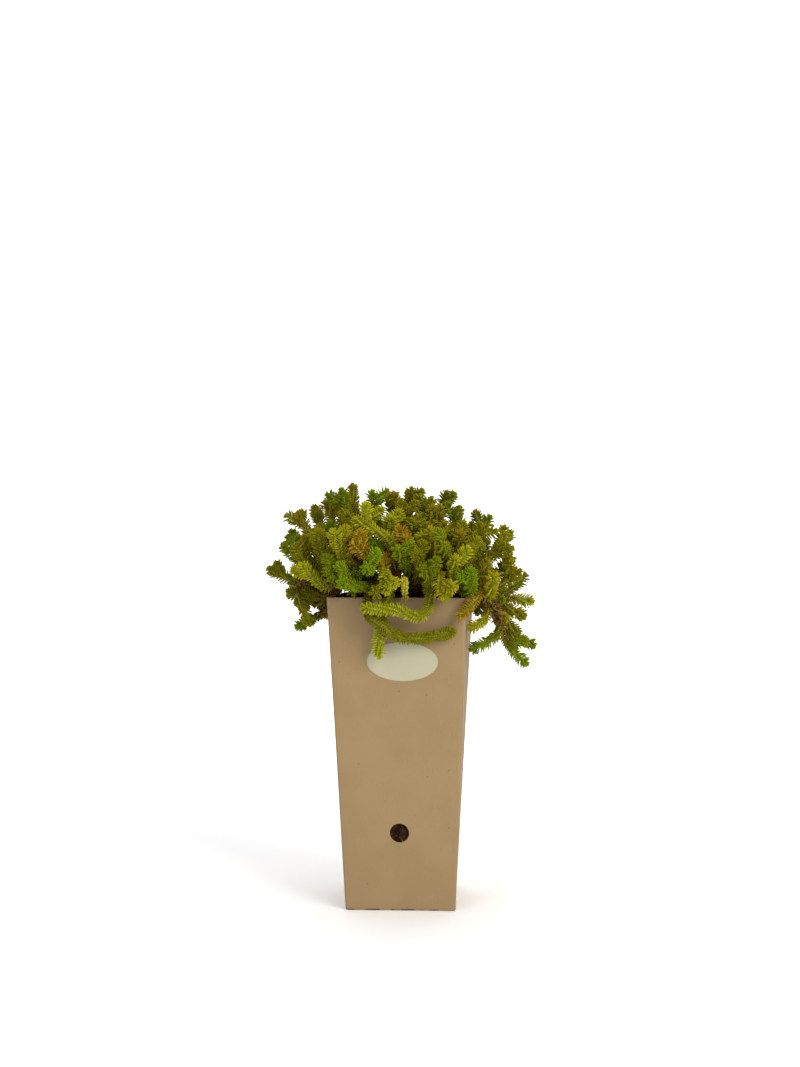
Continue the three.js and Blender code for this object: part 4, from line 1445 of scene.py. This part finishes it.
@dataclass
class Leaf:
    """One blunt leaf of length and width 1, from the stem's middle along Z, curled up a little."""

    segments: int = 5
    rings: int = 4
    # A ball is made fuller towards its ends, tapers to the tip, and bends to one side.
    fullness: float = -0.45
    root_width: float = 1.05
    tapering: float = -0.22
    curl: float = -0.5

    def add(self, tree: Grower) -> bpy.types.Node:
        """Adds the leaf's nodes.

        Args:
            tree: The tree that takes them.

        Returns:
            The node that carries the leaf.
        """
        ball = tree.add("GeometryNodeMeshUVSphere", links={
            "Segments": self.segments, "Rings": self.rings, "Radius": 0.5})
        parts = tree.add("ShaderNodeSeparateXYZ", links=(tree.add("GeometryNodeInputPosition"),))
        x, y, z = (output(parts, axis) for axis in "XYZ")
        along = tree.add("ShaderNodeMath", "ADD", (z, 0.5))
        across = tree.add("ShaderNodeVectorMath", "LENGTH", (
            tree.add("ShaderNodeCombineXYZ", links={"X": x, "Y": y}),))
        width = tree.add("ShaderNodeMath", "MULTIPLY", (output(across, "Value"), 2.0))
        fuller = tree.add("ShaderNodeMath", "POWER", (
            tree.add("ShaderNodeMath", "MAXIMUM", (width, 0.01)), self.fullness))
        taper = tree.add("ShaderNodeMath", "MULTIPLY", (
            fuller, tree.add("ShaderNodeMath", "MULTIPLY_ADD", (along, self.tapering, self.root_width))))
        curl = tree.add("ShaderNodeMath", "MULTIPLY", (
            tree.add("ShaderNodeMath", "POWER", (along, 2.0)), self.curl))
        shaped = tree.add("ShaderNodeCombineXYZ", links={
            "X": tree.add("ShaderNodeMath", "MULTIPLY_ADD", (x, taper, curl)),
            "Y": tree.add("ShaderNodeMath", "MULTIPLY", (y, taper)), "Z": along})
        marked = tree.add("GeometryNodeStoreNamedAttribute", {"data_type": "FLOAT", "domain": "POINT"}, {
            "Geometry": ball, "Name": "along", "Value": along})
        return tree.add("GeometryNodeSetPosition", links={"Geometry": marked, "Position": shaped})


@dataclass
class Cushion:
    """All the leafy stems, one piece for each plant."""

    planting: Planting
    side_shoots: SideShoots
    leaf: Leaf = field(default_factory=Leaf)
    leaf_length: float = 5.6
    leaf_width: float = 1.5
    leaf_spread: float = math.radians(80)
    tip_spread: float = math.radians(30)
    spread_stray: float = math.radians(6)
    # Leaves open over this length from the tip, where they start at a share of their length.
    opening_length: float = 2.4
    young_length: float = 0.55
    # From this age on leaves shrink, down to a share of their length.
    aged_from: float = 0.3
    aged_length: float = 0.7
    leaf_sizes: Span = (0.84, 1.08)
    # These are added to the seed, so that a leaf's stray and its size are draws of their own.
    stray_seed: int = 101
    size_seed: int = 202
    # A leaf that meets the piece to keep clear of ends at this share of the way to it.
    stop_short: float = 0.9
    in_whorl: int = 3
    whorl_pitch: float = 0.86
    crown_length: float = 2.2
    crown_crowding: float = 0.6
    row_twist: float = math.radians(4)
    # A line sways this far to either side, in waves of this length, but not at its first points.
    sway: float = 1.6
    sway_length: float = 18.0
    firm_points: int = 4
    stem_sides: int = 6
    stem_step: float = 2.2
    # The stem's radius at the tip, a neck's length below it, where leaves end, and a bare length below
    girths: tuple[float, ...] = (0.6, 1.6, 1.4, 1.1)
    neck_length: float = 4.0
    bare_length: float = 20.0
    # How many leaves are left where the leafy head ends, these two lengths below, and from there on
    thinning_length: float = 4.0
    sparse_length: float = 22.0
    covers: tuple[float, ...] = (1.0, 0.7, 0.22, 0.0)
    # No leaf grows over the soil below this height over the rim, and low side heads are shorter.
    bare_height: float = 5.0
    low_leafy_share: float = 0.55
    # A leaf is new down to here, and this old where the leafy head ends. Age also darkens the leaves as
    # painted shade deep in the cushion.
    young_end: float = 6.0
    leafy_age: float = 0.42
    # The spans of how large and how open a shoot's leaves are
    vigour: Span = (0.95, 1.15)
    opened: Span = (0.82, 0.92)
    # The same two, size first, on shoots that hang in front and on pale buds
    trailing: Span = (0.93, 1.0)
    bud: Span = (0.85, 0.55)
    # Leaves are larger this near to the tip, and smaller where the leafy head ends.
    head_from: float = 5.0
    head_vigour: Span = (1.12, 0.88)
    blushes: Point = (0.0, 0.2, 0.45)
    blush_shares: Point = (0.45, 0.35, 0.2)
    seed: int = 7

    def build(self, keep_clear: bpy.types.Object) -> list[bpy.types.Object]:
        """Grows every plant.

        Args:
            keep_clear: The piece that no leaf may reach into.

        Returns:
            One piece for each plant.
        """
        tree = self.shoot_tree()
        leaf, stem = StonecropLeaf().material(), StonecropStem().material()
        chance = np.random.default_rng(self.seed)
        plants, pieces = self.planting.plants(), []
        self.side_shoots.add(plants)
        for number, shoots in enumerate(plants, 1):
            piece = self.centre_lines(f"stonecrop_{number:02d}", shoots, chance)
            tree.grow(piece, {
                "Leaf Length": self.leaf_length * MM, "Leaf Width": self.leaf_width * MM,
                "Leaf Spread": self.leaf_spread, "Tip Spread": self.tip_spread,
                "Whorl Pitch": self.whorl_pitch * MM, "Crown Length": self.crown_length * MM,
                "Row Twist": self.row_twist, "Sway": self.sway * 2 * MM,
                "Seed": self.seed + number, "Keep Clear": keep_clear,
                "Leaf Finish": leaf, "Stem Finish": stem})
            pieces.append(dress(piece, "stonecrop", f"leafy_stems_{number:02d}"))
        return pieces

    def centre_lines(self, name: str, shoots: list[Shoot], chance: np.random.Generator) -> bpy.types.Object:
        """A plant's centre lines as loose edges, with what each point's leaves are like.

        Args:
            name: The piece's name.
            shoots: The plant's shoots. Their upright start is drawn once.
            chance: The source of random draws.

        Returns:
            The piece.
        """
        lines, edges, marks = [], [], []
        count = 0
        for which, shoot in enumerate(shoots):
            line = shoot.line if shoot.side or not which else shoot.line[self.planting.upright_rows:]
            edges += [(count + i, count + i + 1) for i in range(len(line) - 1)]
            count += len(line)
            lines.append(line)
            marks.append(self.marks(shoot, line, chance))
        piece = new_piece(name, np.concatenate(lines), [], edges)
        for key in marks[0]:
            set_values(piece, key, np.concatenate([mark[key] for mark in marks]))
        return piece

    def marks(self, shoot: Shoot, line: Array, chance: np.random.Generator) -> dict[str, Array]:
        """What the stem and the leaves are like at every point of a shoot's line.

        Args:
            shoot: The shoot.
            line: The part of its line that is drawn.
            chance: The source of random draws.

        Returns:
            The values of each named attribute: the length from the tip and the stem's girth in
            metres, how many of the leaves are there, and their age (which also sets painted shade on
            the leaves), tone, blush, size and opening, and how freely the line sways.
        """
        pot = self.planting.carton
        steps = np.linalg.norm(np.diff(line, axis=0), axis=1)
        from_tip = np.concatenate((np.cumsum(steps[::-1])[::-1], [0]))
        trailing = self.planting.hangs_in_front(shoot)
        leafy = from_tip[0] if shoot.side else shoot.rows * self.planting.row_pitch
        if not (shoot.side or trailing) and line[-1, 2] < pot.height:
            leafy *= self.low_leafy_share
        bare = leafy + self.sparse_length
        cover = np.interp(from_tip, (leafy, leafy + self.thinning_length, bare, bare + 1), self.covers)
        within = np.abs(line[:, :2]).max(1) < pot.half_width(line[:, 2])
        cover[within & (line[:, 2] < pot.height + self.bare_height)] = 0
        blush = 0.0 if trailing else chance.choice(self.blushes, p=self.blush_shares)
        vigour = self.trailing[0] if trailing else chance.uniform(*self.vigour)
        opened = self.trailing[1] if trailing else chance.uniform(*self.opened)
        if shoot.tone is Tone.PALE:
            vigour, opened, blush = *self.bud, 0.0
        every = np.ones(len(line))
        girth_at = (0, self.neck_length, leafy, leafy + self.bare_length)
        firm = (np.cumsum(every) - self.firm_points) / self.firm_points
        return {
            "from_tip": from_tip * MM, "cover": cover,
            # Age grows down the shoot. On the leaves it is partly painted shade deep in the cushion.
            "age": np.interp(from_tip, (self.young_end, leafy, bare), (0, self.leafy_age, 1)),
            "girth": np.interp(from_tip, girth_at, self.girths) * MM,
            "tone": shoot.tone.value[0] * every, "blush": blush * every,
            "vigour": vigour * np.interp(from_tip, (self.head_from, leafy), self.head_vigour),
            "opened": opened * every, "free": np.clip(firm, 0, 1) * (not shoot.side)}

    def shoot_tree(self) -> Grower:
        """Makes the tree that grows a round stem and whorls of leaves along centre lines.

        Returns:
            The tree.
        """
        tree = Grower.new("leafy shoots", {
            "Leaf Length": 0.005, "Leaf Width": 0.001, "Leaf Spread": 0.9, "Tip Spread": 0.3,
            "Whorl Pitch": 0.001, "Crown Length": 0.002, "Row Twist": 0.05, "Sway": 0.001, "Seed": 0,
            "Keep Clear": bpy.types.Object,
            "Leaf Finish": bpy.types.Material, "Stem Finish": bpy.types.Material})
        kinds = {"row": "INT", "facing": "QUATERNION"}
        names = ("free", "girth", "row", "facing", "cover", "stray", "opened", "from_tip", "age", "vigour")
        marks = {name: tree.add("GeometryNodeInputNamedAttribute", {"data_type": kinds.get(name, "FLOAT")},
                                {"Name": name}) for name in names}
        place = tree.add("GeometryNodeInputPosition")
        waves = tree.add("ShaderNodeTexNoise", links={
            "Vector": place, "Scale": per_mm(self.sway_length), "Detail": 0.0})
        middle = tree.add("ShaderNodeVectorMath", "SUBTRACT", (output(waves, "Color"), (0.5, 0.5, 0.5)))
        sway = tree.add("ShaderNodeMath", "MULTIPLY", (tree.given("Sway"), marks["free"]))
        swayed = tree.add("GeometryNodeSetPosition", links={
            "Geometry": tree.given("Geometry"),
            "Offset": tree.add("ShaderNodeVectorMath", "SCALE", {0: middle, "Scale": sway})})
        lines = tree.add("GeometryNodeMeshToCurve", links={"Mesh": swayed})
        lines = tree.add("GeometryNodeCurveSplineType", {"spline_type": "CATMULL_ROM"}, {"Curve": lines})
        even = tree.add("GeometryNodeResampleCurve", {"mode": "LENGTH"}, {
            "Curve": lines, "Length": self.stem_step * MM})
        ring = tree.add("GeometryNodeCurvePrimitiveCircle", links={
            "Resolution": self.stem_sides, "Radius": 1.0})
        stem = tree.add("GeometryNodeCurveToMesh", links={
            "Curve": even, "Profile Curve": ring, "Scale": marks["girth"], "Fill Caps": True})
        coated = [
            tree.add("GeometryNodeSetMaterial", links={
                "Geometry": tree.add("GeometryNodeSetShadeSmooth", links=(part,)),
                "Material": tree.given(finish)})
            for part, finish in ((stem, "Stem Finish"), (self.leaves(tree, lines, marks), "Leaf Finish"))]
        tree.add("NodeGroupOutput", links=(
            tree.add("GeometryNodeJoinGeometry", links=(coated,)),))
        return tree

    def whorls(self, tree: Grower, lines: bpy.types.Node) -> bpy.types.Node:
        """Adds a numbered point for each whorl that knows the way its line goes, denser at the tips.

        Args:
            tree: The tree that takes the nodes.
            lines: The curves that the whorls stand along.

        Returns:
            The node that carries the points.
        """
        length = output(tree.add("GeometryNodeSplineLength"), "Length")
        start = tree.add("ShaderNodeMath", "SUBTRACT", (length, tree.given("Crown Length")))
        crown = tree.add("GeometryNodeTrimCurve", {"mode": "LENGTH"}, {
            "Curve": lines, "Start": start, "End": length})
        spots = []
        for curve, share in ((lines, 1.0), (crown, self.crown_crowding)):
            pitch = tree.add("ShaderNodeMath", "MULTIPLY", (tree.given("Whorl Pitch"), share))
            at = tree.add("GeometryNodeCurveToPoints", {"mode": "LENGTH"}, {"Curve": curve, "Length": pitch})
            spots.append(tree.add("GeometryNodeStoreNamedAttribute", {
                "data_type": "QUATERNION", "domain": "POINT"}, {
                "Geometry": output(at, "Points"), "Name": "facing", "Value": output(at, "Rotation")}))
        return tree.add("GeometryNodeStoreNamedAttribute", {"data_type": "INT", "domain": "POINT"}, {
            "Geometry": tree.add("GeometryNodeJoinGeometry", links=(spots,)), "Name": "row",
            "Value": tree.add("GeometryNodeInputIndex")})

    def leaves(self, tree: Grower, lines: bpy.types.Node,
               marks: dict[str, bpy.types.Node]) -> bpy.types.Node:
        """Adds the leaves along the lines.

        Args:
            tree: The tree that takes them.
            lines: The curves that they grow along.
            marks: The nodes that read the named attributes.

        Returns:
            The node that carries the leaves.
        """
        def some(low: float, high: float, more: int) -> bpy.types.Node:
            """Adds a random value for each leaf, apart from the others by its seed."""
            seed = tree.add("ShaderNodeMath", "ADD", (tree.given("Seed"), more))
            return tree.add("FunctionNodeRandomValue", links={"Min": low, "Max": high, "Seed": seed})

        each = tree.add("GeometryNodeDuplicateElements", {"domain": "POINT"}, {
            "Geometry": self.whorls(tree, lines), "Amount": self.in_whorl})
        in_whorl = tree.add("ShaderNodeMath", "MULTIPLY", (
            output(each, "Duplicate Index"), FULL_TURN / self.in_whorl))
        turn = tree.add("ShaderNodeMath", "ADD", (tree.given("Row Twist"), FULL_TURN / 2 / self.in_whorl))
        angle = tree.add("ShaderNodeMath", "MULTIPLY_ADD", (marks["row"], turn, in_whorl))
        fallen = tree.add("ShaderNodeMath", "GREATER_THAN", (some(0.0, 1.0, 0), marks["cover"]))
        kept = tree.add("GeometryNodeDeleteGeometry", {"domain": "POINT"}, {
            "Geometry": each, "Selection": fallen})
        kept = tree.add("GeometryNodeStoreNamedAttribute", {"data_type": "FLOAT", "domain": "POINT"}, {
            "Geometry": kept, "Name": "stray", "Value": some(-1.0, 1.0, self.stray_seed)})
        from_tip, end = marks["from_tip"], self.opening_length * MM
        widest = tree.add("ShaderNodeMath", "MULTIPLY", (tree.given("Leaf Spread"), marks["opened"]))
        opening = tree.add("ShaderNodeMapRange", {"interpolation_type": "SMOOTHSTEP"}, {
            "Value": from_tip, "From Max": end, "To Min": tree.given("Tip Spread"), "To Max": widest})
        spread = tree.add("ShaderNodeMath", "MULTIPLY_ADD", (marks["stray"], self.spread_stray, opening))
        turned = tree.add("FunctionNodeEulerToRotation", links=(
            tree.add("ShaderNodeCombineXYZ", links={"Y": spread, "Z": angle}),))
        rotation = tree.add("FunctionNodeRotateRotation", {"rotation_space": "LOCAL"}, {
            "Rotation": marks["facing"], "Rotate By": turned})
        growth = tree.add("ShaderNodeMapRange", links={
            "Value": from_tip, "From Max": end, "To Min": self.young_length, "To Max": 1.0})
        shrink = tree.add("ShaderNodeMapRange", links={
            "Value": marks["age"], "From Min": self.aged_from, "To Min": 1.0, "To Max": self.aged_length})
        size = some(*self.leaf_sizes, self.size_seed)
        share = growth
        for factor in (shrink, size, marks["vigour"]):
            share = tree.add("ShaderNodeMath", "MULTIPLY", (share, factor))
        share = tree.add("ShaderNodeMath", "MINIMUM", (share, self.free_share(tree, rotation)))
        length = tree.add("ShaderNodeMath", "MULTIPLY", (share, tree.given("Leaf Length")))
        width = tree.add("ShaderNodeMath", "MULTIPLY", (size, tree.given("Leaf Width")))
        grown = tree.add("GeometryNodeInstanceOnPoints", links={
            "Points": kept, "Instance": self.leaf.add(tree), "Rotation": rotation,
            "Scale": tree.add("ShaderNodeCombineXYZ", links=(width, width, length))})
        return tree.add("GeometryNodeRealizeInstances", links=(grown,))

    def free_share(self, tree: Grower, rotation: bpy.types.Node) -> bpy.types.Node:
        """Adds the share of a leaf's length that is free before the piece that it keeps clear of.

        Args:
            tree: The tree that takes the nodes.
            rotation: The node that carries the way each leaf points.

        Returns:
            The node that carries the share, over 1 where nothing is in the way.
        """
        heading = tree.add("FunctionNodeRotateVector", links={"Vector": tuple(UP), "Rotation": rotation})
        wall = tree.add("GeometryNodeObjectInfo", links={"Object": tree.given("Keep Clear")})
        hit = tree.add("GeometryNodeRaycast", links={
            "Target Geometry": output(wall, "Geometry"), "Ray Direction": heading,
            "Ray Length": tree.given("Leaf Length")})
        free = tree.add("ShaderNodeMath", "DIVIDE", (output(hit, "Hit Distance"), tree.given("Leaf Length")))
        shortened = tree.add("ShaderNodeMath", "MULTIPLY", (free, self.stop_short))
        return tree.add("GeometryNodeSwitch", {"input_type": "FLOAT"}, {
            "Switch": output(hit, "Is Hit"), "False": 2.0, "True": shortened})


# The studio


@dataclass(frozen=True)
class Light:
    """A soft square light: where it hangs and the point that it faces, in metres, and its power in watts."""

    name: str
    place: Point
    size: float
    power: float
    colour: str
    aim: Point = (0.0, 0.0, 0.2)

    def hang(self) -> None:
        """Hangs the light."""
        lamp = bpy.data.lights.new(self.name, "AREA")
        lamp.size = self.size
        lamp.energy = self.power
        lamp.color = linear(self.colour)[:3]
        hung = bpy.data.objects.new(self.name, lamp)
        hung.location = self.place
        hung.rotation_euler = (Vector(self.aim) - hung.location).to_track_quat("-Z", "Y").to_euler()
        bpy.context.scene.collection.objects.link(hung)


@dataclass
class Studio:
    """A seamless pale sweep, soft light from the right and above, and the photograph's camera."""

    width: float = 6000.0
    depth: float = 3000.0
    bend: float = 900.0
    bend_points: int = 16
    tall: float = 4000.0
    lights: tuple[Light, ...] = (
        Light("key", (1.1, -1.25, 0.95), 1.0, 23.4, "#fff9f0"),
        Light("fill", (-1.0, -1.3, 0.9), 1.4, 8.2, "#f5f8ff"),
        Light("top", (-0.1, 0.2, 1.9), 1.4, 11.0, "#ffffff"),
        Light("backdrop", (0.0, 0.9, 1.6), 2.0, 45.0, "#ffffff", aim=(0.0, 2.6, 0.9)),
    )
    around: float = 0.42
    camera_place: Point = (0.0497, -1.0989, 0.270)
    camera_turn: float = math.radians(2.7)
    focal_length: float = 50.0
    film_height: float = 36.0

    def build(self) -> None:
        """Sets the sweep, the lights and the camera."""
        self.sweep()
        self.world()
        for light in self.lights:
            light.hang()
        self.camera()

    def sweep(self) -> None:
        """Bends a sheet of white paper up behind the pot."""
        angle = np.linspace(-FULL_TURN / 4, 0, self.bend_points)
        curve = [(-self.depth, 0.0)]
        curve += [(self.depth / 2 + self.bend * math.cos(a), self.bend * (1 + math.sin(a))) for a in angle]
        curve.append((self.depth / 2 + self.bend, self.tall))
        points = [(side * self.width / 2, y, z) for y, z in curve for side in (-1, 1)]
        faces = [(2 * i, 2 * i + 1, 2 * i + 3, 2 * i + 2) for i in range(len(curve) - 1)]
        paper = new_piece("studio_sweep", np.array(points), faces)
        paper.data.materials.append(StudioPaper().material())
        paper.data.shade_smooth()
        paper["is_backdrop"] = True

    def world(self) -> None:
        """Lights the studio evenly from all around."""
        world = bpy.data.worlds.new("studio")
        world.use_nodes = True
        inputs = world.node_tree.nodes["Background"].inputs
        inputs["Color"].default_value = linear("#ffffff")
        inputs["Strength"].default_value = self.around
        bpy.context.scene.world = world
        bpy.context.scene.view_settings.view_transform = "Standard"

    def camera(self) -> None:
        """Sets the camera where the photograph was taken from."""
        lens = bpy.data.cameras.new("camera")
        lens.lens = self.focal_length
        lens.sensor_fit = "VERTICAL"
        lens.sensor_height = self.film_height
        camera = bpy.data.objects.new("camera", lens)
        camera.location = self.camera_place
        camera.rotation_euler = (FULL_TURN / 4, 0.0, self.camera_turn)
        bpy.context.scene.collection.objects.link(camera)
        bpy.context.scene.camera = camera


def main() -> None:
    """Builds the pot, its soil and the plants, then the studio."""
    logging.basicConfig(level=logging.INFO, format="%(message)s")
    cad_box = [list(corner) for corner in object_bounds()]
    carton = Carton()
    pot = carton.build()
    OvalLabel(carton).build()
    soil = Soil(carton)
    soil.build()
    planting = Planting(carton, soil)
    side_shoots = SideShoots(planting, *(np.array(corner) / MM for corner in cad_box))
    plants = Cushion(planting, side_shoots).build(keep_clear=pot)
    Studio().build()
    LOG.info("%d plants, %d faces", len(plants), sum(len(p.data.polygons) for p in plants))


if __name__ == "__main__":
    main()
